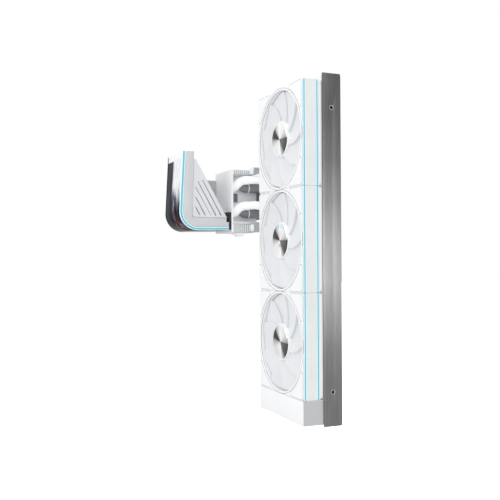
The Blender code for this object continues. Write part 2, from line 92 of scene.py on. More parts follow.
class Axis(Enum):
    """Direction along which an outline is extruded or turned."""

    X = Matrix(((0, 0, 1), (1, 0, 0), (0, 1, 0)))
    Y = Matrix(((1, 0, 0), (0, 0, -1), (0, 1, 0)))
    Z = Matrix.Identity(3)


# ------------------------------------------------------------------ finishes

class Graph:
    """A small helper that wires one material's nodes."""

    def __init__(self, name: str) -> None:
        """Start a material with its Principled shader."""
        self.material = bpy.data.materials.new(name)
        self.material.use_nodes = True
        self.tree = self.material.node_tree
        self.shader = self.tree.nodes["Principled BSDF"]

    def node(self, kind: str, **values: object) -> bpy.types.Node:
        """Add a node and set its properties.

        Args:
            kind: Node type, without the ShaderNode prefix.
            values: Properties to set on the node.

        Returns:
            The new node.
        """
        made = self.tree.nodes.new("ShaderNode" + kind)
        for key, value in values.items():
            setattr(made, key, value)
        return made

    def link(self, source: bpy.types.NodeSocket,
             target: bpy.types.NodeSocket) -> None:
        """Join two sockets."""
        self.tree.links.new(source, target)

    def place(self, scale: Point3 = (1.0, 1.0, 1.0),
              uv: bool = False) -> bpy.types.NodeSocket:
        """Scaled object coordinates, or the piece's own UV map.

        Args:
            scale: Scale along each axis.
            uv: Whether to read the UV map instead.

        Returns:
            The mapped vector.
        """
        where = self.node("TexCoord")
        mapping = self.node("Mapping")
        mapping.inputs["Scale"].default_value = scale
        self.link(where.outputs["UV" if uv else "Object"],
                  mapping.inputs["Vector"])
        return mapping.outputs["Vector"]

    def noise(self, vector: bpy.types.NodeSocket, scale: float,
              detail: float = 3.0) -> bpy.types.NodeSocket:
        """Noise value at a scale in turns per metre."""
        tex = self.node("TexNoise")
        tex.inputs["Scale"].default_value = scale
        tex.inputs["Detail"].default_value = detail
        self.link(vector, tex.inputs["Vector"])
        return tex.outputs["Fac"]

    def math(self, operation: str, *values: object,
             clamp: bool = False) -> bpy.types.NodeSocket:
        """One Math node over sockets or numbers.

        Args:
            operation: Name of the operation.
            values: Its inputs, each a socket or a number.
            clamp: Whether to hold the result between 0 and 1.

        Returns:
            The result.
        """
        made = self.node("Math", operation=operation, use_clamp=clamp)
        for socket, value in zip(made.inputs, values):
            if isinstance(value, (int, float)):
                socket.default_value = value
            else:
                self.link(value, socket)
        return made.outputs["Value"]

    def axis(self, vector: bpy.types.NodeSocket,
             letter: str) -> bpy.types.NodeSocket:
        """One component of a vector."""
        split = self.node("SeparateXYZ")
        self.link(vector, split.inputs["Vector"])
        return split.outputs[letter]

    def spread(self, value: bpy.types.NodeSocket, low: float, high: float,
               start: float = 0.3, end: float = 0.7) -> bpy.types.NodeSocket:
        """Map start..end of a value onto low..high."""
        made = self.node("MapRange")
        for name, number in (("From Min", start), ("From Max", end),
                             ("To Min", low), ("To Max", high)):
            made.inputs[name].default_value = number
        self.link(value, made.inputs["Value"])
        return made.outputs["Result"]

    def ramp(self, value: bpy.types.NodeSocket,
             stops: Sequence[tuple[float, RGB]]) -> bpy.types.NodeSocket:
        """Colour ramp through the given stops."""
        made = self.node("ValToRGB")
        elements = made.color_ramp.elements
        while len(elements) < len(stops):
            elements.new(1.0)
        for element, (position, colour) in zip(elements, stops):
            element.position = position
            element.color = (*colour, 1.0)
        self.link(value, made.inputs["Fac"])
        return made.outputs["Color"]

    def bump(self, height: bpy.types.NodeSocket, distance: float,
             strength: float = 1.0) -> None:
        """Raise the surface by a height over a distance in metres."""
        made = self.node("Bump")
        made.inputs["Distance"].default_value = distance
        made.inputs["Strength"].default_value = strength
        self.link(height, made.inputs["Height"])
        self.link(made.outputs["Normal"], self.shader.inputs["Normal"])


@dataclass(frozen=True)
class Finish:
    """Moulded, painted or cast surface with a fine grain.

    Attributes:
        name: Material name.
        colour: Base colour.
        roughness: Mean roughness.
        metallic: 0 for plastic and paint, 1 for bare metal.
        tint: How far the colour wanders either way, as a fraction.
        grain: Grain scale in turns per metre.
        relief: Height of the grain in metres.
        coat: Clear coat weight.
        glow: Strength of light given off in the base colour: LED light on the lit lines,
            painted light on plain finishes that give off none.
    """

    name: str
    colour: RGB
    roughness: float
    metallic: float = 0.0
    tint: float = 0.02
    grain: float = 900.0
    relief: float = 0.00002
    coat: float = 0.0
    glow: float = 0.0

    def shades(self) -> list[tuple[float, RGB]]:
        """Colour stops on each side of the base colour."""
        low = tuple(c * (1 - self.tint) for c in self.colour)
        high = tuple(min(1.0, c * (1 + self.tint)) for c in self.colour)
        return [(0.3, low), (0.7, high)]

    def start(self) -> Graph:
        """Graph with the uniform values set on the shader."""
        graph = Graph(self.name)
        shader = graph.shader.inputs
        shader["Metallic"].default_value = self.metallic
        shader["Coat Weight"].default_value = self.coat
        shader["Coat Roughness"].default_value = 0.08
        if self.glow:
            shader["Emission Color"].default_value = (*self.colour, 1.0)
            shader["Emission Strength"].default_value = self.glow
        return graph

    def build(self) -> bpy.types.Material:
        """Make the material."""
        graph = self.start()
        where = graph.place()
        cloud = graph.noise(where, self.grain * 0.05, 2.0)
        fine = graph.noise(where, self.grain, 4.0)
        shader = graph.shader.inputs
        graph.link(graph.ramp(cloud, self.shades()), shader["Base Color"])
        graph.link(graph.spread(fine, self.roughness * 0.88,
                                min(1.0, self.roughness * 1.12)),
                   shader["Roughness"])
        graph.bump(fine, self.relief, 0.6)
        return graph.material


@dataclass(frozen=True)
class Brushed(Finish):
    """Metal brushed along Z, with a painted reflection: its tone changes down its length.

    Attributes:
        stretch: How much longer the scratches are than they are wide.
        stops: Heights in metres and the painted reflection's tone there.
    """

    stretch: float = 60.0
    stops: tuple[Point, ...] = ()

    def build(self) -> bpy.types.Material:
        """Make the material."""
        graph = self.start()
        lines = graph.noise(graph.place((1.0, 1.0, 1.0 / self.stretch)),
                            self.grain, 6.0)
        broad = graph.noise(graph.place((1.0, 1.0, 0.02)), 160.0, 2.0)
        # Painted reflection: a tone ramp by height stands in for the studio light on the
        # metal.
        height = graph.axis(graph.place(), "Z")
        low, high = self.stops[0][0], self.stops[-1][0]
        tone = graph.ramp(
            graph.spread(height, 0.0, 1.0, low, high),
            [((z - low) / (high - low), (v, v, v * 1.005))
             for z, v in self.stops])
        streak = graph.spread(lines, 1 - self.tint, 1 + self.tint, 0.25, 0.75)
        wide = graph.spread(broad, 1 - self.tint * 0.5, 1 + self.tint * 0.5)
        mix = graph.node("VectorMath", operation="SCALE")
        graph.link(tone, mix.inputs[0])
        graph.link(graph.math("MULTIPLY", streak, wide),
                   mix.inputs["Scale"])
        shader = graph.shader.inputs
        graph.link(mix.outputs["Vector"], shader["Base Color"])
        graph.link(graph.spread(lines, self.roughness * 0.8,
                                self.roughness * 1.25),
                   shader["Roughness"])
        shader["Anisotropic"].default_value = 0.6
        graph.bump(lines, self.relief, 0.5)
        return graph.material


@dataclass(frozen=True)
class SpunMirror(Finish):
    """Polished spun disc with painted reflections: bright and dark wedges round its
    centre, painted into its colour and its glow.

    The piece's UV map holds its centre at 0.5, 0.5.
    """

    def build(self) -> bpy.types.Material:
        """Make the material."""
        graph = self.start()
        where = graph.place(uv=True)
        u = graph.math("SUBTRACT", graph.axis(where, "X"), 0.5)
        v = graph.math("SUBTRACT", graph.axis(where, "Y"), 0.5)
        angle = graph.math("DIVIDE", graph.math("ARCTAN2", v, u),
                           2 * math.pi)
        turn = graph.math("FRACT", graph.math("ADD", angle, 1.0))
        radius = graph.math("SQRT", graph.math(
            "ADD", graph.math("MULTIPLY", u, u),
            graph.math("MULTIPLY", v, v)))
        rings = graph.math("SINE", graph.math("MULTIPLY", radius, 700.0))
        # Painted reflection: tone by angle round the centre, used as both base colour and
        # glow.
        tone = graph.ramp(turn, [(at, (v, v, v)) for at, v in (
            (0.0, 0.35), (0.05, 0.65), (0.12, 0.9), (0.25, 1.0), (0.33, 0.6),
            (0.38, 0.06), (0.46, 0.06), (0.50, 0.5), (0.58, 0.85),
            (0.69, 0.85), (0.78, 1.0), (0.82, 0.5), (0.87, 0.06),
            (0.94, 0.06))])
        shader = graph.shader.inputs
        graph.link(tone, shader["Base Color"])
        graph.link(tone, shader["Emission Color"])
        graph.link(graph.spread(rings, self.roughness, self.roughness * 2,
                                -1.0, 1.0), shader["Roughness"])
        graph.bump(rings, self.relief, 0.3)
        return graph.material


@dataclass(frozen=True)
class LitScreen(Finish):
    """Black cover glass over a screen that shows soft upright streaks.

    Attributes:
        near: X of the screen's bright edge, in metres.
        far: X where the streaks have faded out.
        low: Z where the streaks begin.
        high: Z where they are full.
    """

    near: float = -0.11
    far: float = -0.14
    low: float = 0.05
    high: float = 0.09

    def build(self) -> bpy.types.Material:
        """Make the material."""
        graph = self.start()
        where = graph.place()
        bands = graph.noise(graph.place((1.0, 0.15, 0.05)), 260.0, 3.0)
        ragged = graph.noise(graph.place((1.0, 0.3, 0.12)), 420.0, 2.0)
        across = graph.spread(graph.axis(where, "X"), 0.0, 1.0,
                              self.far, self.near)
        lift = graph.spread(ragged, -0.5, 0.5)
        up = graph.math("ADD", graph.spread(graph.axis(where, "Z"), 0.0, 1.0,
                                            self.low, self.high), lift,
                        clamp=True)
        side = graph.math("ADD", graph.math("MULTIPLY", across, 2.2),
                          graph.spread(bands, -1.1, 0.25), clamp=True)
        shine = graph.math("MULTIPLY", up, side, clamp=True)
        warm = graph.math("MULTIPLY", graph.spread(
            graph.axis(where, "Z"), 1.0, 0.0, 0.03, 0.055), across,
            clamp=True)
        base = graph.ramp(warm, [(0.0, (0.004, 0.004, 0.005)),
                                 (1.0, (0.05, 0.008, 0.006))])
        light = graph.ramp(shine, [(0.0, (0.006, 0.008, 0.012)),
                                   (0.35, (0.12, 0.12, 0.16)),
                                   (0.7, (0.75, 0.75, 0.83)),
                                   (1.0, (0.92, 0.92, 0.97))])
        shader = graph.shader.inputs
        graph.link(base, shader["Base Color"])
        graph.link(graph.spread(ragged, self.roughness * 0.8,
                                self.roughness * 1.3), shader["Roughness"])
        graph.link(light, shader["Emission Color"])
        shader["Emission Strength"].default_value = 1.0
        shader["IOR"].default_value = 1.03
        return graph.material


@dataclass(frozen=True)
class Sleeve(Finish):
    """Hose sleeve woven round the piece's own UV map.

    Attributes:
        turns: Threads round the hose.
        rows: Threads along the whole hose.
    """

    turns: float = 26.0
    rows: float = 420.0

    def build(self) -> bpy.types.Material:
        """Make the material."""
        graph = self.start()
        where = graph.place(uv=True)
        u, v = graph.axis(where, "X"), graph.axis(where, "Y")
        around = graph.math("MULTIPLY", v, self.turns * 2 * math.pi)
        along = graph.math("MULTIPLY", u, self.rows * 2 * math.pi)
        one = graph.math("SINE", graph.math("ADD", around, along))
        two = graph.math("SINE", graph.math("SUBTRACT", around, along))
        weave = graph.math("MULTIPLY", one, two)
        shader = graph.shader.inputs
        graph.link(graph.ramp(graph.spread(weave, 0.0, 1.0, -1.0, 1.0),
                              self.shades()), shader["Base Color"])
        graph.link(graph.spread(weave, self.roughness * 0.85,
                                self.roughness * 1.15, -1.0, 1.0),
                   shader["Roughness"])
        graph.bump(weave, self.relief, 0.35)
        return graph.material


@dataclass(frozen=True)
class CircuitBoard(Finish):
    """Board with fine tracks and pads."""

    def build(self) -> bpy.types.Material:
        """Make the material."""
        graph = self.start()
        cells = graph.node("TexVoronoi", distance="MANHATTAN",
                           feature="DISTANCE_TO_EDGE")
        cells.inputs["Scale"].default_value = self.grain
        graph.link(graph.place(), cells.inputs["Vector"])
        tracks = graph.spread(cells.outputs["Distance"], 1.0, 0.0, 0.02, 0.09)
        shader = graph.shader.inputs
        graph.link(graph.ramp(tracks, [(0.2, self.colour),
                                       (0.9, (0.55, 0.42, 0.2))]),
                   shader["Base Color"])
        graph.link(graph.spread(tracks, self.roughness, 0.25, 0.0, 1.0),
                   shader["Roughness"])
        graph.bump(tracks, self.relief)
        return graph.material


MADE: dict[str, bpy.types.Material] = {}


class Paint(Enum):
    """Every finish of the cooler."""

    # Painted light: glow brightens the white plastic, which gives off no light of its own.
    WHITE = Finish("moulded_white", (0.865, 0.87, 0.88), 0.34, tint=0.008,
                   glow=0.03)
    # Painted shade: the white plastic made darker for the end cover's side, which stands
    # in shade.
    WHITE_SHADED_SIDE = Finish("painted_shade_side", (0.52, 0.53, 0.54), 0.4, tint=0.01)
    WHITE_PAINT = Finish("painted_white", (0.84, 0.845, 0.855), 0.4,
                         tint=0.01, grain=1600.0, coat=0.2)
    WHITE_GLOSS = Finish("gloss_white", (0.88, 0.885, 0.89), 0.18,
                         tint=0.008, coat=0.5)
    # Painted shade: dark grey stands in for the shade in the fan frame's narrow grooves.
    SEAM_SHADE = Finish("seam_shade_grey", (0.30, 0.305, 0.32), 0.5)
    # Glow is partly the fans' LED light in the frosted blades and partly painted light
    # that flattens their shading.
    FROSTED = Finish("frosted_blades", (0.50, 0.51, 0.525), 0.42, tint=0.04,
                     grain=500.0, glow=0.50)
    HUB_WHITE = Finish("hub_white", (0.88, 0.885, 0.89), 0.3, tint=0.008)
    DIFFUSER = Finish("light_diffuser", (0.82, 0.84, 0.84), 0.3, tint=0.02)
    HALO = Finish("light_halo", (0.66, 0.90, 0.96), 0.35, tint=0.02,
                  glow=0.14)
    CYAN = Finish("cyan_line", (0.12, 0.36, 0.45), 0.35, tint=0.03, glow=0.3)
    CYAN_STRIP = Finish("cyan_strip", (0.15, 0.42, 0.51), 0.35, tint=0.04,
                        glow=0.25)
    # Painted reflection: the spun cap's wedges are painted into its colour and glow.
    MIRROR = SpunMirror("spun_mirror", (0.9, 0.9, 0.92), 0.09, 1.0,
                        relief=0.000004, glow=0.18)
    # Painted reflection: the tone stops, lightest a little below the middle and darker
    # towards the top and bottom, stand in for the studio light on the plate.
    PLATE = Brushed("brushed_plate", (0.5, 0.5, 0.5), 0.34, 1.0, tint=0.16,
                    grain=2600.0, relief=0.00001,
                    stops=((-0.2, 0.22), (-0.15, 0.23), (-0.11, 0.30),
                           (-0.08, 0.42), (-0.035, 0.58), (0.01, 0.51),
                           (0.055, 0.33), (0.1, 0.21), (0.15, 0.155),
                           (0.2, 0.14)))
    PLATE_EDGE = Finish("plate_edge", (0.08, 0.08, 0.085), 0.4, 0.6)
    SCREW_BLACK = Finish("black_screw", (0.02, 0.02, 0.022), 0.35, 0.7)
    ALUMINIUM = Finish("bare_fins", (0.62, 0.63, 0.65), 0.42, 0.85,
                       tint=0.06, grain=2400.0)
    COPPER = Finish("windings", (0.72, 0.36, 0.2), 0.34, 1.0, tint=0.12,
                    grain=1800.0)
    COLD_COPPER = Finish("machined_copper", (0.75, 0.43, 0.28), 0.3, 1.0,
                         tint=0.08, grain=2400.0)
    # Painted light: glow brightens the grey cover, which gives off no light of its own.
    GREY = Finish("moulded_grey", (0.80, 0.805, 0.82), 0.38, tint=0.015,
                  glow=0.15)
    # Painted light: glow brightens the ribs.
    RIBBED = Finish("ribbed_grey", (0.72, 0.73, 0.74), 0.42, tint=0.02,
                    glow=0.1)
    # Painted shade: a darker grey for the grooves between the ribs; glow adds painted
    # light.
    GROOVE_SHADE = Finish("groove_shade_grey", (0.40, 0.405, 0.415), 0.5, tint=0.03,
                    glow=0.08)
    # Painted light: glow brightens the block's grey.
    BLOCK = Finish("block_grey", (0.62, 0.63, 0.65), 0.42, tint=0.02,
                   glow=0.15)
    # Dark grey for the cold plate, and painted shade for the box in the block's recess.
    GREY_DARK = Finish("dark_plate_and_recess_shade", (0.16, 0.165, 0.18), 0.5, tint=0.05)
    SWIVEL = Finish("swivel_grey", (0.20, 0.205, 0.215), 0.34, tint=0.05)
    RING = Finish("swivel_ring", (0.8, 0.8, 0.82), 0.25, tint=0.02)
    BRACKET = Finish("bracket", (0.50, 0.505, 0.52), 0.36, 0.2, tint=0.03)
    TRAY = Finish("display_tray", (0.63, 0.635, 0.65), 0.42, tint=0.02)
    GUSSET = Finish("display_gusset", (0.74, 0.75, 0.77), 0.4, tint=0.02)
    ARM = Finish("display_arm", (0.48, 0.485, 0.50), 0.45, tint=0.03)
    BLACK = Finish("moulded_black", (0.014, 0.014, 0.016), 0.38, tint=0.1)
    SCREEN = LitScreen("display_glass", (0.01, 0.01, 0.012), 0.07,
                       near=-0.136, far=-0.158, low=0.052, high=0.084)
    BOARD = CircuitBoard("circuit_board", (0.02, 0.10, 0.06), 0.45,
                         grain=320.0, relief=0.00005)
    # Painted light: glow brightens the hose sleeves.
    HOSE = Sleeve("hose_sleeve", (0.89, 0.895, 0.90), 0.5, tint=0.02,
                  relief=0.0001, glow=0.2)
    # Painted light: glow brightens the elbows.
    ELBOW = Finish("elbow_white", (0.89, 0.895, 0.90), 0.4, tint=0.01,
                   glow=0.2)

    def material(self) -> bpy.types.Material:
        """The finish's material, made once."""
        if self.name not in MADE:
            MADE[self.name] = self.value.build()
        return MADE[self.name]


# ------------------------------------------------------------------- shaping

def node_span(node: str) -> tuple[Vector, Vector]:
    """Lowest and highest corner of a CAD node in millimetres."""
    low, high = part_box(node)
    return Vector(low) / MM, Vector(high) / MM


def arc(centre: Point, radius: float, start: float, end: float,
        steps: int) -> list[Point]:
    """Points on an arc, with angles in degrees."""
    return [(centre[0] + radius * math.cos(math.radians(a)),
             centre[1] + radius * math.sin(math.radians(a)))
            for a in (start + (end - start) * i / steps
                      for i in range(steps + 1))]


def rounded(low: Point, high: Point, radius: float,
            steps: int = 5) -> list[Point]:
    """Rounded rectangle between two corners."""
    out: list[Point] = []
    for x, y, start in ((high[0] - radius, high[1] - radius, 0),
                        (low[0] + radius, high[1] - radius, 90),
                        (low[0] + radius, low[1] + radius, 180),
                        (high[0] - radius, low[1] + radius, 270)):
        out += arc((x, y), radius, start, start + 90, steps)
    return out


def ring(centre: Point, radius: float, count: int) -> list[Point]:
    """Closed circle of points."""
    return arc(centre, radius, 0, 360 * (count - 1) / count, count - 1)


class Shape:
    """A mesh being modelled in millimetres."""

    def __init__(self) -> None:
        """Start with nothing."""
        self.bm = bmesh.new()

    @classmethod
    def box(cls, low: Point3, high: Point3) -> "Shape":
        """A box between two corners."""
        made = cls()
        bmesh.ops.create_cube(made.bm, size=1.0)
        size = [b - a for a, b in zip(low, high)]
        bmesh.ops.scale(made.bm, vec=size, verts=made.bm.verts)
        middle = [(a + b) / 2 for a, b in zip(low, high)]
        bmesh.ops.translate(made.bm, vec=middle, verts=made.bm.verts)
        return made

    @classmethod
    def plate(cls, outline: Sequence[Point], axis: Axis, span: Span,
              holes: Iterable[Sequence[Point]] = ()) -> "Shape":
        """Extrude a flat outline, which may have holes.

        Args:
            outline: Points in (y, z) for X, (x, z) for Y, (x, y) for Z.
            axis: Direction of the extrusion.
            span: Where it starts and ends.
            holes: Outlines of holes.

        Returns:
            The solid.
        """
        made = cls()
        bm = made.bm
        edges = []
        for loop in (outline, *holes):
            verts = [bm.verts.new((a, b, 0.0)) for a, b in loop]
            edges += [bm.edges.new((p, q))
                      for p, q in zip(verts, verts[1:] + verts[:1])]
        bmesh.ops.triangle_fill(bm, edges=edges, use_beauty=True)
        top = bmesh.ops.extrude_face_region(bm, geom=list(bm.faces))["geom"]
        lift = [v for v in top if isinstance(v, bmesh.types.BMVert)]
        bmesh.ops.translate(bm, vec=(0, 0, span[1] - span[0]), verts=lift)
        bmesh.ops.translate(bm, vec=(0, 0, span[0]), verts=bm.verts)
        flip = Matrix.Scale(-1, 3, (0, 0, 1)) if axis is Axis.Y \
            else Matrix.Identity(3)
        turn = axis.value @ flip
        bmesh.ops.transform(bm, matrix=turn.to_4x4(), verts=bm.verts)
        return made.outward()

    @classmethod
    def turned(cls, profile: Sequence[Point], axis: Axis, centre: Point3,
               steps: int = 48) -> "Shape":
        """Revolve a profile of (radius, place along the axis) points.

        Args:
            profile: Points from one end of the axis to the other.
            axis: Axis that it turns about.
            centre: Point on the axis; its own axis part is an offset.
            steps: Sides of the turned surface.

        Returns:
            The turned solid.
        """
        made = cls()
        bm = made.bm
        verts = [bm.verts.new((r, 0.0, h)) for r, h in profile]
        edges = [bm.edges.new(pair) for pair in zip(verts, verts[1:])]
        bmesh.ops.spin(bm, geom=verts + edges, cent=(0, 0, 0),
                       axis=(0, 0, 1), angle=2 * math.pi, steps=steps,
                       use_merge=True)
        turn = {Axis.X: Matrix.Rotation(math.pi / 2, 3, "Y"),
                Axis.Y: Matrix.Rotation(-math.pi / 2, 3, "X"),
                Axis.Z: Matrix.Identity(3)}[axis]
        bmesh.ops.transform(bm, matrix=turn.to_4x4(), verts=bm.verts)
        bmesh.ops.translate(bm, vec=centre, verts=bm.verts)
        return made.outward()

    def outward(self) -> "Shape":
        """Merge doubles and turn the faces outwards."""
        bmesh.ops.remove_doubles(self.bm, verts=self.bm.verts, dist=1e-4)
        bmesh.ops.recalc_face_normals(self.bm, faces=self.bm.faces)
        return self

    def round_edges(self, width: float, segments: int = 2,
                    angle: float = 40.0) -> "Shape":
        """Bevel the sharp edges.

        Args:
            width: Width of the bevel.
            segments: Steps in it.
            angle: Edges that turn by more than this are bevelled.

        Returns:
            The same shape.
        """
        limit = math.radians(angle)
        edges = [e for e in self.bm.edges
                 if len(e.link_faces) == 2
                 and e.calc_face_angle(0.0) > limit]
        bmesh.ops.bevel(self.bm, geom=edges, offset=width,
                        offset_type="OFFSET", segments=segments,
                        profile=0.5, affect="EDGES", material=-1,
                        clamp_overlap=True)
        return self

    def join(self, other: "Shape") -> "Shape":
        """Take in another shape's mesh."""
        spare = bpy.data.meshes.new("spare")
        other.bm.to_mesh(spare)
        other.bm.free()
        self.bm.from_mesh(spare)
        bpy.data.meshes.remove(spare)
        return self

    def turn(self, degrees: float, axis: str, centre: Point3) -> "Shape":
        """Turn about an axis through a point."""
        bmesh.ops.rotate(self.bm, cent=centre,
                         matrix=Matrix.Rotation(math.radians(degrees), 3,
                                                axis),
                         verts=self.bm.verts)
        return self

    def move(self, by: Point3) -> "Shape":
        """Shift the whole shape."""
        bmesh.ops.translate(self.bm, vec=by, verts=self.bm.verts)
        return self

    def disc_uv(self, centre: Vector, reach: float) -> "Shape":
        """UV map of a disc that faces Y, with its centre at 0.5, 0.5."""
        layer = self.bm.loops.layers.uv.new("UVMap")
        for face in self.bm.faces:
            for loop in face.loops:
                spot = (loop.vert.co - centre) / (2 * reach)
                loop[layer].uv = (0.5 + spot.x, 0.5 + spot.z)
        return self

    def finish(self, name: str, paint: Paint, slot: str,
               replaces: Sequence[str] = (), body: str = Body.COOLER.value,
               sharp: float = 32.0) -> bpy.types.Object:
        """Turn the shape into a piece of the cooler.

        Args:
            name: Name of the piece.
            paint: Its finish.
            slot: Material slot in the record; not used.
            replaces: CAD nodes that it stands for.
            body: Body that it rides on.
            sharp: Edges that turn by more than this many degrees stay sharp.

        Returns:
            The piece's object.
        """
        bmesh.ops.scale(self.bm, vec=(MM, MM, MM), verts=self.bm.verts)
        mesh = bpy.data.meshes.new(name)
        self.bm.to_mesh(mesh)
        self.bm.free()
        mesh.polygons.foreach_set("use_smooth", [True] * len(mesh.polygons))
        mesh.set_sharp_from_angle(angle=math.radians(sharp))
        mesh.materials.append(paint.material())
        piece = bpy.data.objects.new(name, mesh)
        bpy.context.scene.collection.objects.link(piece)
        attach(piece, body)
        if replaces:
            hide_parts(*replaces)
        LOG.info("%s on %s, %d faces", name, body, len(mesh.polygons))
        return piece


def dress(paint: Paint, *nodes: str) -> None:
    """Give CAD nodes that keep their shape a finish."""
    for node in nodes:
        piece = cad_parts[node]
        if not piece.material_slots:
            piece.data.materials.append(None)
        for holder in piece.material_slots:
            holder.material = paint.material()
        LOG.info("%s dressed in %s", node, paint.value.name)


def smooth_route(knots: Sequence[Point3], count: int) -> list[Vector]:
    """Evenly spaced points from a smooth curve through the knots.

    Args:
        knots: Route points in millimetres.
        count: How many points to read.

    Returns:
        The points in metres.
    """
    pts = [Vector(k) * MM for k in knots]
    pts = [2 * pts[0] - pts[1]] + pts + [2 * pts[-1] - pts[-2]]
    dense = []
    for p0, p1, p2, p3 in zip(pts, pts[1:], pts[2:], pts[3:]):
        for step in range(24):
            t = step / 24
            dense.append(0.5 * (2 * p1 + (p2 - p0) * t
                                + (2 * p0 - 5 * p1 + 4 * p2 - p3) * t ** 2
                                + (3 * p1 - p0 - 3 * p2 + p3) * t ** 3))
    dense.append(pts[-2])
    run = [0.0]
    for a, b in zip(dense, dense[1:]):
        run.append(run[-1] + (b - a).length)
    out = []
    for i in range(count):
        want = run[-1] * i / (count - 1)
        j = max(k for k in range(len(dense) - 1) if run[k] <= want + 1e-9)
        part = (want - run[j]) / max(run[j + 1] - run[j], 1e-9)
        out.append(dense[j].lerp(dense[j + 1], part))
    return out


def pipe(name: str, points: Sequence[Vector], radius: float,
         paint: Paint) -> bpy.types.Object:
    """A round tube along points in metres, with closed ends."""
    curve = bpy.data.curves.new(name, "CURVE")
    curve.dimensions = "3D"
    curve.bevel_depth = radius * MM
    curve.bevel_resolution = 8
    curve.use_fill_caps = True
    spline = curve.splines.new("POLY")
    spline.points.add(len(points) - 1)
    for target, point in zip(spline.points, points):
        target.co = (*point, 1.0)
    spline.use_smooth = True
    curve.materials.append(paint.material())
    piece = bpy.data.objects.new(name, curve)
    bpy.context.scene.collection.objects.link(piece)
    return piece


# ---------------------------------------------------------------- the studio

@dataclass
class Studio:
    """Camera, pale floor and soft light.

    Attributes:
        eye: Camera place in metres.
        heading: Degrees that the view turns from +Y towards -X.
        tilt: Degrees that it looks up.
        roll: Degrees that it leans.
        lens: Focal length in millimetres on a 36 mm sensor.
        ambient: Light from the surroundings.
        lights: Name, place, target, side in metres and watts of each lamp.
    """

    eye: Point3 = (0.7793, -0.4137, -0.0131)
    heading: float = 67.27
    tilt: float = 0.88
    roll: float = -0.25
    lens: float = 52.2
    ambient: float = 0.80
    lights: tuple[tuple[str, Point3, Point3, float, float], ...] = field(
        default=(
            ("key", (-0.1, -1.7, 0.9), (0.0, 0.0, 0.0), 1.4, 10.0),
            ("side", (1.8, -0.6, 0.5), (0.0, 0.0, 0.0), 1.2, 8.0),
            ("top", (-0.2, -0.4, 1.6), (0.0, 0.0, 0.0), 1.2, 2.0),
        ))

    def build(self) -> None:
        """Set up the whole studio."""
        self.camera()
        self.world()
        self.floor()
        for name, place, target, size, power in self.lights:
            self.light(name, place, target, size, power)

    def camera(self) -> None:
        """The camera at its viewing angle."""
        yaw, tilt, roll = (math.radians(a) for a in
                           (self.heading, self.tilt, self.roll))
        ahead = Vector((-math.sin(yaw) * math.cos(tilt),
                        math.cos(yaw) * math.cos(tilt), math.sin(tilt)))
        level = Vector((math.cos(yaw), math.sin(yaw), 0.0))
        upright = level.cross(ahead)
        right = level * math.cos(roll) + upright * math.sin(roll)
        above = upright * math.cos(roll) - level * math.sin(roll)
        turn = Matrix((right, above, -ahead)).transposed().to_4x4()
        data = bpy.data.cameras.new("camera")
        data.sensor_width = 36.0
        data.lens = self.lens
        data.clip_start = 0.01
        data.clip_end = 50.0
        camera = bpy.data.objects.new("camera", data)
        camera.matrix_world = Matrix.Translation(self.eye) @ turn
        bpy.context.scene.collection.objects.link(camera)
        bpy.context.scene.camera = camera

    def world(self) -> None:
        """Even surroundings behind a white backdrop."""
        scene = bpy.context.scene
        scene.view_settings.view_transform = "Standard"
        world = bpy.data.worlds.new("studio")
        world.use_nodes = True
        nodes, links = world.node_tree.nodes, world.node_tree.links
        back = nodes["Background"]
        back.inputs["Color"].default_value = (1.0, 1.0, 1.0, 1.0)
        seen = nodes.new("ShaderNodeLightPath").outputs["Is Camera Ray"]
        level = nodes.new("ShaderNodeMapRange")
        level.inputs["To Min"].default_value = self.ambient
        level.inputs["To Max"].default_value = 1.0
        links.new(seen, level.inputs["Value"])
        links.new(level.outputs["Result"], back.inputs["Strength"])
        scene.world = world

    def floor(self) -> None:
        """A plain white floor below the cooler."""
        drop = CAD_BOX[0][2] - 0.25
        bm = bmesh.new()
        bmesh.ops.create_grid(bm, x_segments=1, y_segments=1, size=12.0)
        bmesh.ops.translate(bm, vec=(0.0, 0.0, drop), verts=bm.verts)
        mesh = bpy.data.meshes.new("floor")
        bm.to_mesh(mesh)
        bm.free()
        graph = Graph("pale_floor")
        shader = graph.shader.inputs
        tone = graph.ramp(graph.noise(graph.place(), 2.0),
                          [(0.3, (0.8, 0.8, 0.8)), (0.7, (0.82, 0.82, 0.82))])
        graph.link(tone, shader["Base Color"])
        shader["Roughness"].default_value = 0.9
        shader["Emission Color"].default_value = (1.0, 1.0, 1.0, 1.0)
        graph.link(graph.node("LightPath").outputs["Is Camera Ray"],
                   shader["Emission Strength"])
        mesh.materials.append(graph.material)
        floor = bpy.data.objects.new("floor", mesh)
        bpy.context.scene.collection.objects.link(floor)
        floor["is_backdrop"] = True

    def light(self, name: str, place: Point3, target: Point3, size: float,
              power: float) -> None:
        """One soft square light.

        Args:
            name: Name of the light.
            place: Where it stands, in metres.
            target: Point that it faces.
            size: Side of the square.
            power: Strength in watts.
        """
        data = bpy.data.lights.new(name, "AREA")
        data.size = size
        data.energy = power
        lamp = bpy.data.objects.new(name, data)
        lamp.location = place
        aim = Vector(target) - Vector(place)
        lamp.rotation_euler = aim.to_track_quat("-Z", "Y").to_euler()
        bpy.context.scene.collection.objects.link(lamp)


# ---------------------------------------------------------------- the cooler

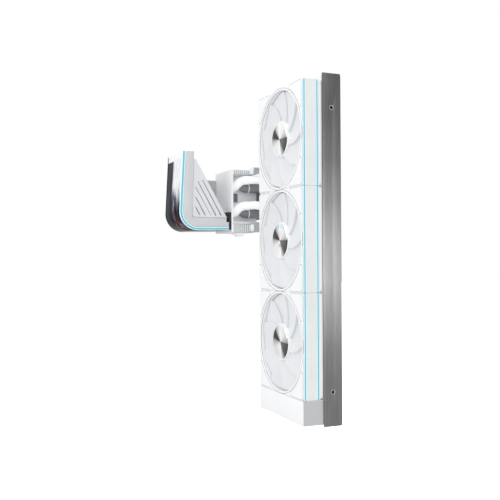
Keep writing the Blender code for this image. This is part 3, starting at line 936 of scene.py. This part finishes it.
@dataclass
class Hoses:
    """Two hoses from the tank's stubs to the pump head's elbows.

    Attributes:
        radius: Radius of each hose.
        elbow_radius: Radius of each elbow.
        heights: Height of each hose's upper end.
        end: Where both upper ends stand in (x, y).
        elbow_route: Elbow knots, with Z counted from its hose's end.
        ways: Direction of each hose's upper end in (x, y).
        routes: Knots of each hose from the tank upwards.
    """

    radius: float = 5.4
    elbow_radius: float = 5.8
    heights: dict[str, float] = field(
        default_factory=lambda: {"a": 94.4, "b": 60.4})
    end: Point = (-108.5, -45.0)
    elbow_route: tuple[Point3, ...] = (
        (-127.0, -59.4, -9.6), (-122.5, -59.4, -9.4), (-118.6, -58.9, -8.2),
        (-115.6, -57.2, -5.8), (-113.4, -54.0, -2.4))
    ways: dict[str, Point] = field(default_factory=lambda: {
        "a": (0.63, 0.777), "b": (0.724, 0.69)})
    routes: dict[str, list[Point3]] = field(default_factory=lambda: {
        "a": [(-71.5, -12.0, -187.0), (-88.5, -11.0, -187.0),
              (-104.5, -10.0, -181.0), (-118.5, -8.5, -171.0),
              (-128.0, -8.0, -157.0), (-132.5, -7.0, -140.5),
              (-132.0, -6.0, -123.0), (-129.0, -4.5, -106.0),
              (-123.5, -4.5, -89.5), (-117.5, -4.5, -73.0),
              (-112.5, -4.0, -56.5), (-107.0, -3.0, -40.0),
              (-102.0, -2.0, -23.0), (-96.5, -1.5, -6.5),
              (-91.5, -0.5, 10.5), (-87.0, 1.0, 27.5),
              (-83.0, 2.0, 45.0), (-81.5, -0.5, 62.5),
              (-83.5, -8.0, 77.5), (-89.5, -19.0, 88.0),
              (-98.0, -31.5, 94.2), (-108.5, -45.0, 94.4)],
        "b": [(-71.5, -12.0, -163.0), (-86.0, -12.0, -163.0),
              (-98.5, -12.0, -158.5), (-109.0, -12.0, -150.5),
              (-116.5, -12.5, -139.0), (-120.5, -12.5, -125.0),
              (-120.0, -13.0, -110.5), (-115.0, -13.0, -96.5),
              (-109.5, -12.0, -83.5), (-104.0, -12.0, -70.0),
              (-98.5, -11.5, -56.5), (-93.5, -11.5, -43.0),
              (-88.0, -11.0, -29.0), (-83.0, -11.0, -16.0),
              (-77.0, -10.5, -2.5), (-72.5, -9.0, 11.0),
              (-72.0, -10.0, 25.0), (-75.0, -13.0, 37.8),
              (-80.5, -18.5, 48.8), (-88.5, -26.0, 56.4),
              (-98.0, -35.0, 60.6), (-108.5, -45.0, 60.4)],
    })

    def build(self) -> None:
        """Make both hoses and their elbows."""
        for tag, route in self.routes.items():
            points = smooth_route(route, 28)
            hose = pipe("hose_%s_sleeve" % tag, points, self.radius,
                        Paint.HOSE)
            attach(hose, Body.COOLER.value)
            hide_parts("hose_" + tag)
            self.elbow(tag)

    def elbow(self, tag: str) -> None:
        """The rigid elbow between a hose and the pump block."""
        z = self.heights[tag]
        end, way = Vector(self.end), Vector(self.ways[tag])
        knots = [(x, y, z + rise) for x, y, rise in self.elbow_route]
        knots += [(*(end - way * 5.6), z - 0.2), (*(end - way * 0.1), z)]
        points = smooth_route(knots, 22)
        elbow = pipe("elbow_%s_swept" % tag, points, self.elbow_radius,
                     Paint.ELBOW)
        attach(elbow, Body.COOLER.value)
        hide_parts("elbow_" + tag)


@dataclass
class Fan:
    """One fan: frame, rotor, spun cap and light bars.

    Attributes:
        tag: Which of the three it is.
        bore: Radius of the opening.
        flange: Depth of the front wall; not used.
        corner: Radius of the frame's corners.
        hub: Radius of the hub.
        tip: Radius at the blade tips.
        blades: Number of blades.
        blade_y: Middle of the blades' depth.
        blade_arc: Angle that a blade covers at its root.
        blade_sweep: Angle that a blade's tip runs ahead of its root.
        blade_rise: Depth from a blade's leading to its trailing edge.
        blade_bow: Height of a blade's curve.
        blade_wall: Thickness of a blade.
        spokes: Angles of the motor's arms.
        line: Width of a light line.
        halo: Width of the pale glow on each side of it.
        bar_ribs: Ribs on a light bar.
    """

    tag: str
    bore: float = 57.5
    flange: float = 0.9
    corner: float = 4.5
    hub: float = 22.0
    tip: float = 56.3
    blades: int = 9
    blade_y: float = -45.4
    blade_arc: float = 52.0
    blade_sweep: float = 26.0
    blade_rise: float = 3.0
    blade_bow: float = 1.6
    blade_wall: float = 1.1
    spokes: tuple[float, ...] = (38.0, 128.0, 218.0, 308.0)
    line: float = 1.3
    halo: float = 0.9
    bar_ribs: int = 8

    def __post_init__(self) -> None:
        """Read the frame's place from the model."""
        self.low, self.high = node_span("fan_frame_" + self.tag)
        self.centre = (self.low + self.high) / 2
        self.bar_low, self.bar_high = node_span("light_bar_near_" + self.tag)

    def build(self) -> None:
        """Make every visible piece of the fan."""
        self.frame()
        self.corner_pads()
        self.rotor()
        self.cap()
        for side in ("near", "far"):
            self.light_bar(side)
        dress(Paint.COPPER, "fan_motor_" + self.tag)

    def opening(self, count: int = 96) -> list[Point]:
        """The round opening in the frame's own place."""
        return ring((self.centre.x, self.centre.z), self.bore, count)

    def frame(self) -> None:
        """Square frame with its raised rim, motor spider and side recess."""
        low, high, c = self.low, self.high, self.centre
        square = rounded((low.x, low.z), (high.x, high.z), self.corner)
        front, back = self.bar_low.y - 0.3, self.bar_high.y + 0.3
        waist = self.bar_high.x - self.bar_low.x + 0.3
        inner = rounded((low.x + waist, low.z), (high.x - waist, high.z), 1.5)
        body = Shape.plate(square, Axis.Y, (low.y, front), [self.opening()])
        body.round_edges(0.4, 2)
        body.join(Shape.plate(inner, Axis.Y, (front - 0.1, back + 0.1),
                              [self.opening()]))
        body.join(Shape.plate(square, Axis.Y, (back, high.y),
                              [self.opening()]).round_edges(0.5, 2))
        rim = [(self.bore - 0.1, low.y + 3.0), (self.bore - 0.1, low.y + 0.5),
               (self.bore + 0.5, low.y - 0.35), (self.bore + 1.7, low.y - 0.35),
               (self.bore + 2.4, low.y + 0.4), (self.bore + 2.4, low.y + 3.0)]
        body.join(Shape.turned([*rim, rim[0]], Axis.Y, (c.x, 0.0, c.z), 96))
        seat = high.y - 3.2
        body.join(Shape.turned([(0.0, seat), (self.hub - 1.6, seat),
                                (self.hub - 1.0, seat + 0.6),
                                (self.hub - 1.0, high.y - 0.4),
                                (0.0, high.y - 0.4)], Axis.Y,
                               (c.x, 0.0, c.z), 48))
        for start in self.spokes:
            arm = Shape.box((self.hub - 2.0, high.y - 3.0, -1.6),
                            (self.bore + 1.0, high.y - 0.6, 1.6))
            arm.round_edges(0.5, 2)
            arm.turn(-start, "Y", (0, 0, 0)).move((c.x, 0.0, c.z))
            body.join(arm)
        body.finish("fan_frame_%s_shell" % self.tag, Paint.WHITE,
                    "white_plastic",
                    ["fan_frame_" + self.tag])
        # Painted shade: thin dark rings stand in for the shade in the groove round the rim
        # and at the opening's inner edge.
        skin = low.y - 0.03
        seams = Shape()
        for inside, outside, rise in ((self.bore + 2.4, self.bore + 2.9, 0.0),
                                      (self.bore - 0.2, self.bore + 0.2, -0.6)):
            band = [(inside, skin - rise), (outside, skin - rise),
                    (outside, skin - rise + 0.5),
                    (inside, skin - rise + 0.5)]
            seams.join(Shape.turned([*band, band[0]], Axis.Y,
                                    (c.x, 0.0, c.z), 96))
        seams.finish("fan_ring_seams_" + self.tag, Paint.SEAM_SHADE,
                     "white_plastic")

    def corner_pads(self) -> None:
        """Thin pads in the four corners, each edged by a dark sheet of painted shade for
        its narrow seam.
        """
        pads, seams = Shape(), Shape()
        # Painted shade: each seam is a slightly larger dark copy of a pad, set just behind
        # its face.
        for shape, grow, rise in ((pads, 0.0, 0.25), (seams, 0.35, 0.05)):
            reach = self.bore + 3.9 - grow
            edge = (self.high.x - self.low.x) / 2 - 1.3 + grow
            for turn in range(4):
                curve = arc((0.0, 0.0), reach, 62.0 + grow, 28.0 - grow, 10)
                outline = curve + [(edge, curve[-1][1]), (edge, edge - 3.5),
                                   *arc((edge - 3.5, edge - 3.5), 3.5, 0, 90,
                                        4), (curve[0][0], edge)]
                pad = Shape.plate(outline, Axis.Y, (self.low.y - rise,
                                                    self.low.y + 0.5))
                if shape is pads:
                    pad.round_edges(0.2, 1, 50.0)
                pad.turn(90.0 * turn, "Y", (0, 0, 0))
                shape.join(pad.move((self.centre.x, 0.0, self.centre.z)))
        pads.finish("fan_corner_pads_" + self.tag, Paint.WHITE,
                    "white_plastic")
        seams.finish("fan_pad_seams_" + self.tag, Paint.SEAM_SHADE,
                     "white_plastic")

    def blade(self, turn: float) -> Shape:
        """One swept blade as a thin curved sheet.

        Args:
            turn: Where the blade's root stands, in radians.

        Returns:
            The blade.
        """
        made = Shape()
        grid = bmesh.ops.create_grid(made.bm, x_segments=12, y_segments=12,
                                     size=0.5)
        root = self.hub - 0.8
        for vert in grid["verts"]:
            u, t = vert.co.x + 0.5, vert.co.y + 0.5
            r = root + (self.tip - root) * t
            reach = math.radians(self.blade_arc - 4.0 * t)
            angle = (turn + math.radians(self.blade_sweep) * t
                     + reach * (u - 0.5))
            lift = (self.blade_rise * (u - 0.5)
                    + self.blade_bow * math.sin(math.pi * u))
            vert.co = Vector((r * math.cos(angle), self.blade_y + lift,
                              r * math.sin(angle)))
        bmesh.ops.recalc_face_normals(made.bm, faces=made.bm.faces)
        bmesh.ops.solidify(made.bm, geom=list(made.bm.faces),
                           thickness=self.blade_wall)
        return made.outward()

    def rotor(self) -> None:
        """Hub and blades, which turn together."""
        low, high = node_span("fan_rotor_" + self.tag)
        blades = Shape()
        for k in range(self.blades):
            blades.join(self.blade(2 * math.pi * k / self.blades))
        blades.move((self.centre.x, 0.0, self.centre.z))
        body = Body.fan_rotor(self.tag)
        blades.finish("fan_blades_" + self.tag, Paint.FROSTED, "frosted",
                      ["fan_rotor_" + self.tag], body, 60.0)
        wall = self.hub
        hub = Shape.turned(
            [(0.0, low.y + 0.6), (wall - 2.0, low.y + 0.6),
             (wall - 1.4, low.y - 0.9), (wall - 0.5, low.y - 0.9),
             (wall, low.y - 0.3), (wall, high.y), (wall - 1.8, high.y),
             (wall - 1.8, low.y + 3.4), (0.0, low.y + 3.4)],
            Axis.Y, (self.centre.x, 0.0, self.centre.z), 72)
        hub.finish("fan_hub_" + self.tag, Paint.HUB_WHITE, "frosted",
                   body=body, sharp=50.0)

    def cap(self) -> None:
        """Spun mirror disc on the hub."""
        low, high = node_span("fan_cap_" + self.tag)
        reach = (high.x - low.x) / 2
        centre = Vector((self.centre.x, low.y, self.centre.z))
        disc = Shape.turned(
            [(0.0, low.y + 0.5), (reach * 0.30, low.y + 0.35),
             (reach * 0.34, low.y + 0.1), (reach - 0.8, low.y),
             (reach, low.y + 0.5), (reach, high.y), (0.0, high.y)],
            Axis.Y, (centre.x, 0.0, centre.z), 72)
        disc.disc_uv(centre, reach)
        disc.finish("fan_cap_%s_spun" % self.tag, Paint.MIRROR,
                    "mirror_cap", ["fan_cap_" + self.tag],
                    Body.fan_rotor(self.tag))

    def light_bar(self, side: str) -> None:
        """Ribbed diffuser between two cyan lines and their pale glow.

        Args:
            side: near or far.
        """
        node = "light_bar_%s_%s" % (side, self.tag)
        low, high = node_span(node)
        out = 1 if side == "near" else -1
        face = high.x if out > 0 else low.x
        root = low.x if out > 0 else high.x
        centres = (low.y + 1.9, high.y - 1.8)
        reach = self.line / 2 + self.halo
        start, end = centres[0] + reach + 0.05, centres[1] - reach - 0.05
        pitch = (end - start) / self.bar_ribs
        outline: list[Point] = [(root, start)]
        for i in range(self.bar_ribs):
            y = start + pitch * i
            outline += [(face - out * 0.5, y),
                        (face - out * 0.1, y + pitch * 0.3),
                        (face - out * 0.1, y + pitch * 0.7),
                        (face - out * 0.5, y + pitch)]
        outline.append((root, end))
        Shape.plate(outline, Axis.Z, (low.z, high.z)).finish(
            "light_diffuser_%s_%s" % (side, self.tag), Paint.DIFFUSER,
            "light_bar", [node], sharp=25.0)
        lines, halos = Shape(), Shape()
        for y in centres:
            for shape, half, sink in ((lines, self.line / 2, 0.0),
                                      (halos, reach, 0.12)):
                skin = face - out * sink
                corners = (min(root, skin), max(y - half, low.y),
                           low.z + 0.3), \
                    (max(root, skin), min(y + half, high.y), high.z - 0.3)
                shape.join(Shape.box(*corners))
        lines.finish("light_lines_%s_%s" % (side, self.tag), Paint.CYAN,
                     "light_bar")
        halos.finish("light_halos_%s_%s" % (side, self.tag), Paint.HALO,
                     "light_bar")


@dataclass
class Radiator:
    """Core, tanks, rails, side plate and hose stubs.

    Attributes:
        tubes: Flat tubes in the core.
        tube: Width of each tube.
        fold: Distance between two folds of a fin.
        corner: Radius of the side plate's corners.
    """

    tubes: int = 12
    tube: float = 2.0
    fold: float = 2.4
    corner: float = 0.5

    def build(self) -> None:
        """Make every visible piece of the radiator."""
        self.core()
        self.tanks()
        self.rails()
        self.side_plate()
        dress(Paint.WHITE_GLOSS, "tank_fitting_a", "tank_fitting_b")

    def core(self) -> None:
        """Flat tubes with folded fins between them."""
        low, high = node_span("radiator_core")
        first = low.x + 4.0
        pitch = (high.x - low.x - 8.0) / (self.tubes - 1)
        tubes = Shape()
        for i in range(self.tubes):
            x = first + pitch * i
            outline = rounded((x - self.tube / 2, low.y),
                              (x + self.tube / 2, high.y), 0.9, 3)
            tubes.join(Shape.plate(outline, Axis.Z, (low.z, high.z)))
        tubes.finish("core_tubes", Paint.ALUMINIUM,
                     "core_metal", ["radiator_core"])
        fins = Shape()
        folds = int((high.z - low.z) / self.fold)
        for i in range(-1, self.tubes):
            left = first + pitch * i + self.tube / 2
            right = left + pitch - self.tube
            left, right = max(left, low.x), min(right, high.x)
            self.fin(fins, (left, right), (low.y + 0.8, high.y - 0.8),
                     low.z, folds)
        fins.finish("core_fins", Paint.ALUMINIUM,
                    "core_metal", sharp=20.0)

    def fin(self, fins: Shape, across: Span, deep: Span, start: float,
            folds: int) -> None:
        """One folded ribbon, extruded through the core's depth.

        Args:
            fins: Shape that takes the ribbon.
            across: Its left and right edges.
            deep: Front and rear edges.
            start: Height of its first fold.
            folds: Number of folds.
        """
        bm = fins.bm
        verts = [bm.verts.new((across[i % 2], deep[0],
                               start + self.fold * (i + 0.5)))
                 for i in range(folds)]
        edges = [bm.edges.new(pair) for pair in zip(verts, verts[1:])]
        swept = bmesh.ops.extrude_edge_only(bm, edges=edges)["geom"]
        moved = [v for v in swept if isinstance(v, bmesh.types.BMVert)]
        bmesh.ops.translate(bm, vec=(0.0, deep[1] - deep[0], 0.0),
                            verts=moved)

    def tanks(self) -> None:
        """End tanks with a crimped edge where they meet the core."""
        for name, edge in (("top_tank", -1), ("bottom_tank", 1)):
            low, high = node_span(name)
            tank = Shape.box(tuple(low), tuple(high)).round_edges(2.0, 4)
            z = low.z + 2.2 if edge < 0 else high.z - 2.2
            lip = rounded((low.x - 0.2, low.y - 0.2),
                          (high.x + 0.2, high.y + 0.2), 2.2, 4)
            tank.join(Shape.plate(lip, Axis.Z, (z - 1.1, z + 1.1))
                      .round_edges(0.4, 2))
            tank.finish(name + "_pressed", Paint.WHITE_PAINT,
                        "white_metal", [name])

    def rails(self) -> None:
        """Folded side rails with their screw holes at the rear."""
        for name, side in (("near_rail", 1), ("far_rail", -1)):
            low, high = node_span(name)
            inner, outer = (low.x, high.x) if side > 0 else (high.x, low.x)
            middle = (inner + outer) / 2
            holes = []
            for tag in FANS:
                c = Fan(tag).centre.z
                holes += [ring((middle, c + dz), 1.5, 20)
                          for dz in (-52.5, -37.5, 37.5, 52.5)
                          if low.z + 3 < c + dz < high.z - 3]
            flange = sorted((inner, outer))
            rail = Shape()
            for ys in ((high.y - 1.0, high.y), (low.y, low.y + 1.0)):
                rail.join(Shape.plate(
                    [(flange[0], low.z), (flange[1], low.z),
                     (flange[1], high.z), (flange[0], high.z)],
                    Axis.Y, ys, holes))
            web = sorted((outer, outer - side * 1.2))
            rail.join(Shape.box((web[0], low.y + 0.2, low.z),
                                (web[1], high.y - 0.2, high.z)))
            rail.finish(name + "_folded", Paint.WHITE_PAINT,
                        "white_metal", [name])

    def side_plate(self) -> None:
        """Brushed plate, its dark rear edge and the two small screws, each with a white
        ring of painted highlight.
        """
        low, high = node_span("near_side_plate")
        outline = rounded((low.y, low.z), (high.y, high.z), self.corner)
        screws = []
        for name in ("plate_screw_upper", "plate_screw_lower"):
            a, b = node_span(name)
            screws.append(((a + b) / 2, (b.y - a.y) / 2))
        holes = [ring((c.y, c.z), r + 0.4, 28) for c, r in screws]
        plate = Shape.plate(outline, Axis.X, (low.x, high.x), holes)
        plate.round_edges(0.25, 2)
        plate.finish("side_plate_brushed", Paint.PLATE,
                     "brushed_plate", ["near_side_plate"])
        edge = Shape.box((low.x + 0.1, high.y - 0.15, low.z + 2.5),
                         (high.x - 0.05, high.y + 0.35, high.z - 2.5))
        edge.finish("side_plate_edge", Paint.PLATE_EDGE,
                    "brushed_plate")
        for (centre, r), where in zip(screws, ("upper", "lower")):
            face = high.x - 0.25
            head = Shape.turned(
                [(0.0, face - 1.0), (0.85, face - 1.0), (0.85, face - 0.15),
                 (r - 0.4, face - 0.15), (r, face - 0.5), (r, face - 1.6),
                 (0.0, face - 1.6)], Axis.X, (0.0, centre.y, centre.z), 28)
            head.finish("plate_screw_%s_head" % where, Paint.SCREW_BLACK,
                        "dark_metal",
                        ["plate_screw_" + where])
            # Painted highlight: a white gloss ring round each screw head stands in for the
            # glint on its rim.
            glint = [(r + 0.02, face - 0.6), (r + 0.02, face + 0.1),
                     (r + 0.38, face + 0.1), (r + 0.38, face - 0.6)]
            Shape.turned([*glint, glint[0]], Axis.X,
                         (0.0, centre.y, centre.z), 28).finish(
                "plate_screw_%s_painted_glint_ring" % where, Paint.WHITE_GLOSS,
                "dark_metal")


@dataclass
class EndCover:
    """Box below the fans with its control board."""

    wall: float = 1.6

    def build(self) -> None:
        """Make the cover and dress the board."""
        low, high = node_span("end_cover")
        w = self.wall
        outer = rounded((low.x, low.z), (high.x, high.z), 0.8, 3)
        inner = rounded((low.x + w, low.z + w), (high.x - w, high.z - w),
                        0.5, 2)
        cover = Shape.plate(outer, Axis.Y, (low.y, low.y + w))
        cover.round_edges(0.35, 2)
        cover.join(Shape.plate(outer, Axis.Y, (low.y + w - 0.4, high.y),
                               [inner]))
        cover.finish("end_cover_moulded", Paint.WHITE,
                     "white_plastic", ["end_cover"])
        # Painted shade: a darker sheet of the white plastic over the cover's near side
        # stands in for the shade there.
        shaded_side = Shape.box((high.x - 0.4, low.y + 0.3, low.z + 0.3),
                          (high.x + 0.04, high.y - 0.2, high.z - 0.3))
        shaded_side.finish("end_cover_cheek", Paint.WHITE_SHADED_SIDE,
                     "white_plastic")
        dress(Paint.BOARD, "controller_board")


@dataclass
class PumpHead:
    """Pump block, its strips, bracket, screws and swivels.

    Attributes:
        shade_low: Lowest corner of the dark box of painted shade in the block's recess.
        shade_high: Highest corner of it, with Y counted from the cover's
            front in both.
        ribs: Ribs on each strip.
    """

    shade_low: Point3 = (-127.2, 10.0, 66.0)
    shade_high: Point3 = (-126.4, 16.0, 77.6)
    ribs: int = 9

    def build(self) -> None:
        """Make every visible piece of the pump head."""
        dress(Paint.BLOCK, "pump_body")
        dress(Paint.GREY, "cable_socket")
        dress(Paint.COPPER, "pump_stator")
        dress(Paint.BRACKET, "mounting_bracket")
        dress(Paint.BLACK, "pump_impeller")
        self.cover()
        self.strips()
        self.screws()
        self.swivels()
        self.cold_plate()

    def cover(self) -> None:
        """Front cover with a broad rounded edge, and a dark box of painted shade in the
        recess.
        """
        low, high = node_span("pump_cover")
        shell = Shape.plate(
            rounded((low.x, low.z), (high.x, high.z), 1.2, 4), Axis.Y,
            (low.y, high.y))
        shell.round_edges(1.3, 4)
        shell.finish("pump_cover_shell", Paint.GREY,
                     "grey_plastic", ["pump_cover"])
        # Painted shade: a dark box stands in for the shade deep in the block's recess.
        front = Vector((0.0, low.y, 0.0))
        panel = Shape.box(tuple(Vector(self.shade_low) + front),
                          tuple(Vector(self.shade_high) + front))
        panel.round_edges(0.3, 2)
        panel.finish("recess_shade_box", Paint.GREY_DARK,
                     "grey_plastic")

    def strips(self) -> None:
        """Ribbed strips on the near side of the block."""
        for where in ("upper", "lower"):
            node = "rib_strip_" + where
            low, high = node_span(node)
            pitch = (high.y - low.y) / self.ribs
            # Painted shade: the strip's base shows between the ribs in a darker grey that
            # stands in for the shade in the grooves.
            base = Shape.box((low.x, low.y, low.z),
                             (low.x + 1.6, high.y, high.z))
            base.finish(node + "_moulded", Paint.GROOVE_SHADE,
                        "grey_plastic", [node])
            bars = Shape()
            for i in range(self.ribs):
                y = low.y + pitch * (i + 0.05)
                bar = Shape.box((low.x + 1.4, y, low.z + 0.3),
                                (high.x, y + pitch * 0.55, high.z - 0.3))
                bars.join(bar.round_edges(0.3, 2))
            bars.finish(node + "_ribs", Paint.RIBBED,
                        "grey_plastic")

    def screws(self) -> None:
        """Screws with a round white head."""
        for side in ("near", "far"):
            for where in ("upper", "lower"):
                node = "mount_screw_%s_%s" % (side, where)
                low, high = node_span(node)
                c = (low + high) / 2
                r = (high.x - low.x) / 2
                head = [(0.0, low.y + 0.8), (1.8, low.y + 0.8),
                        (2.0, low.y), (r - 0.9, low.y), (r, low.y + 0.9),
                        (r, low.y + 3.4), (2.2, low.y + 3.4),
                        (2.2, high.y - 0.6), (1.5, high.y), (0.0, high.y)]
                Shape.turned(head, Axis.Y, (c.x, 0.0, c.z), 40).finish(
                    node + "_head", Paint.WHITE_GLOSS,
                    "screw_steel", [node])

    def swivels(self) -> None:
        """Swivel bodies with their pale rings."""
        for tag in ("a", "b"):
            node = "swivel_" + tag
            low, high = node_span(node)
            c = (low + high) / 2
            r = (high.x - low.x) / 2
            nose = [(0.0, low.y)] + [
                (r * 0.93 * math.sin(math.radians(a)),
                 low.y + 11.0 * (1 - math.cos(math.radians(a))))
                for a in range(12, 91, 13)]
            nose += [(r * 0.93, high.y), (0.0, high.y)]
            Shape.turned(nose, Axis.Y, (c.x, 0.0, c.z), 40).finish(
                node + "_body", Paint.SWIVEL,
                "swivel_grey", [node])
            y = low.y + 11.8
            band = [(r * 0.9, y), (r, y + 0.1), (r, y + 1.3),
                    (r * 0.9, y + 1.4)]
            Shape.turned([*band, band[0]], Axis.Y, (c.x, 0.0, c.z),
                         40).finish(node + "_ring", Paint.RING,
                                    "swivel_grey")

    def cold_plate(self) -> None:
        """Dark plated plate with its raised copper contact face."""
        low, high = node_span("cold_plate")
        plate = Shape.plate(rounded((low.x, low.z), (high.x, high.z), 4.0, 5),
                            Axis.Y, (low.y, high.y - 2.0))
        plate.round_edges(0.5, 2)
        plate.finish("cold_plate_machined", Paint.GREY_DARK,
                     "cold_copper", ["cold_plate"])
        inset = 5.0
        face = Shape.plate(
            rounded((low.x + inset, low.z + inset),
                    (high.x - inset, high.z - inset), 2.0, 4),
            Axis.Y, (high.y - 2.5, high.y)).round_edges(0.4, 2)
        face.finish("cold_plate_contact", Paint.COLD_COPPER,
                    "cold_copper")


@dataclass
class Display:
    """Bent display module on the pump head.

    Attributes:
        top: Upper end of the outer face in (y, z).
        corner: Where its two runs would meet.
        end: Lower rear end.
        bend: Radius of the bend.
        skin: Depth of glass and panel in front of the tray.
        strip: Width of a light strip.
        gap: Space between two skins.
        bezel_drop: Height of the bezel above the glass.
        tray_step: Points of the tray's step at its rear end.
        tray_corner: Centre of the tray's rounded inner corner.
        tray_top: Inner end of the tray's upper edge.
    """

    top: Point = (-135.0, 128.5)
    corner: Point = (-140.3, 26.8)
    end: Point = (-72.0, 27.8)
    bend: float = 24.0
    skin: float = 4.3
    strip: float = 3.0
    gap: float = 0.3
    bezel_drop: float = 9.0
    tray_step: tuple[Point, ...] = ((-72.0, 38.2), (-75.4, 38.2),
                                    (-75.4, 43.6))
    tray_corner: Point = (-119.3, 46.5)
    tray_top: Point = (-119.6, 128.8)

    def build(self) -> None:
        """Make every visible piece of the display."""
        low, high = node_span("display_tray")
        self.x0, self.x1 = low.x, high.x
        self.tray()
        self.strips()
        self.glass()
        dress(Paint.GUSSET, "gusset_near", "gusset_far")
        dress(Paint.BLACK, "display_panel", "display_connector")
        dress(Paint.ARM, "display_arm")
        dress(Paint.BOARD, "display_board")

    def path(self, offset: float, drop: float = 0.0,
             steps: int = 24) -> list[Point]:
        """Outer face in (y, z), moved inwards and cut short at the top.

        Args:
            offset: Distance inwards.
            drop: Length cut off the upper end.
            steps: Steps round the bend.

        Returns:
            Points from the top to the rear end.
        """
        top, corner, end = (Vector(p) for p in (self.top, self.corner,
                                                self.end))
        down = (corner - top).normalized()
        along = (end - corner).normalized()
        turn = down.angle(along)
        start = corner - down * (self.bend * math.tan(turn / 2))
        into = Vector((-down.y, down.x))
        centre = start + into * self.bend
        points = [top + into * offset + down * drop]
        for i in range(steps + 1):
            a = turn * i / steps
            arm = down * math.sin(a) - into * math.cos(a)
            points.append(centre + arm * (self.bend - offset))
        points.append(end + Vector((-along.y, along.x)) * offset)
        return [tuple(p) for p in points]

    def band(self, outer: float, inner: float,
             drop: float = 0.0) -> list[Point]:
        """Closed outline between two offsets of the face."""
        return self.path(outer, drop) + list(reversed(self.path(inner,
                                                                drop)))

    def tray(self) -> None:
        """L-shaped tray, the white bezel above the glass and its line."""
        outline = self.path(self.skin) + [
            *self.tray_step, *arc(self.tray_corner, 3.0, 270, 184, 5),
            self.tray_top]
        tray = Shape.plate(outline, Axis.X, (self.x0, self.x1))
        tray.round_edges(0.5, 2, 50.0)
        tray.finish("display_tray_shell", Paint.TRAY,
                    "tray_grey", ["display_tray"])
        low, high = node_span("display_bezel")
        a, b = self.path(0.0)[0], self.path(self.skin - self.gap)[0]
        step = (Vector(self.corner) - Vector(self.top)).normalized()
        down = step * self.bezel_drop
        outline = [a, tuple(Vector(a) + down), tuple(Vector(b) + down), b]
        Shape.plate(outline, Axis.X, (low.x, high.x)).round_edges(
            0.4, 2).finish("display_bezel_moulded", Paint.WHITE,
                           "white_plastic",
                           ["display_bezel"])
        out = Vector((step.y, -step.x)) * 0.12
        line = [Vector(a) + step * 0.8, Vector(a) + step * 2.1]
        outline = [tuple(p + out) for p in line] \
            + [tuple(p - out * 3) for p in reversed(line)]
        Shape.plate(outline, Axis.X, (low.x + 0.5, high.x - 0.3)).finish(
            "display_bezel_line", Paint.HALO,
            "cyan_light")

    def strips(self) -> None:
        """Cyan light strips, paler towards both of their edges."""
        for where, xs in (("near", (self.x1 - self.strip, self.x1)),
                          ("far", (self.x0, self.x0 + self.strip))):
            node = "display_strip_" + where
            rim = 0.7 if where == "near" else 1.8
            back = self.skin - self.gap
            lit = Shape.plate(self.band(rim, 2.9), Axis.X, xs)
            lit.finish(node + "_lit", Paint.CYAN_STRIP,
                       "cyan_light", [node])
            Shape.plate(self.band(2.9, back), Axis.X, xs).finish(
                node + "_halo", Paint.HALO, "cyan_light")
            front = Shape.plate(self.band(0.0, rim), Axis.X, xs)
            front.round_edges(0.3, 2, 50.0)
            front.finish(node + "_front",
                         Paint.HALO if where == "near" else Paint.SCREEN,
                         "cyan_light")

    def glass(self) -> None:
        """Cover glass, bent with the tray."""
        low, high = node_span("display_glass")
        band = self.band(0.0, 1.8, self.bezel_drop + self.gap)
        glass = Shape.plate(band, Axis.X, (low.x, high.x))
        glass.round_edges(0.4, 2, 50.0)
        glass.finish("display_glass_bent", Paint.SCREEN,
                     "black_glass", ["display_glass"])


def main() -> None:
    """Build the studio and the cooler in order."""
    logging.basicConfig(level=logging.INFO, format="%(name)s: %(message)s")
    Studio().build()
    Hoses().build()
    Radiator().build()
    for tag in FANS:
        Fan(tag).build()
    EndCover().build()
    PumpHead().build()
    Display().build()


if __name__ == "__main__":
    main()
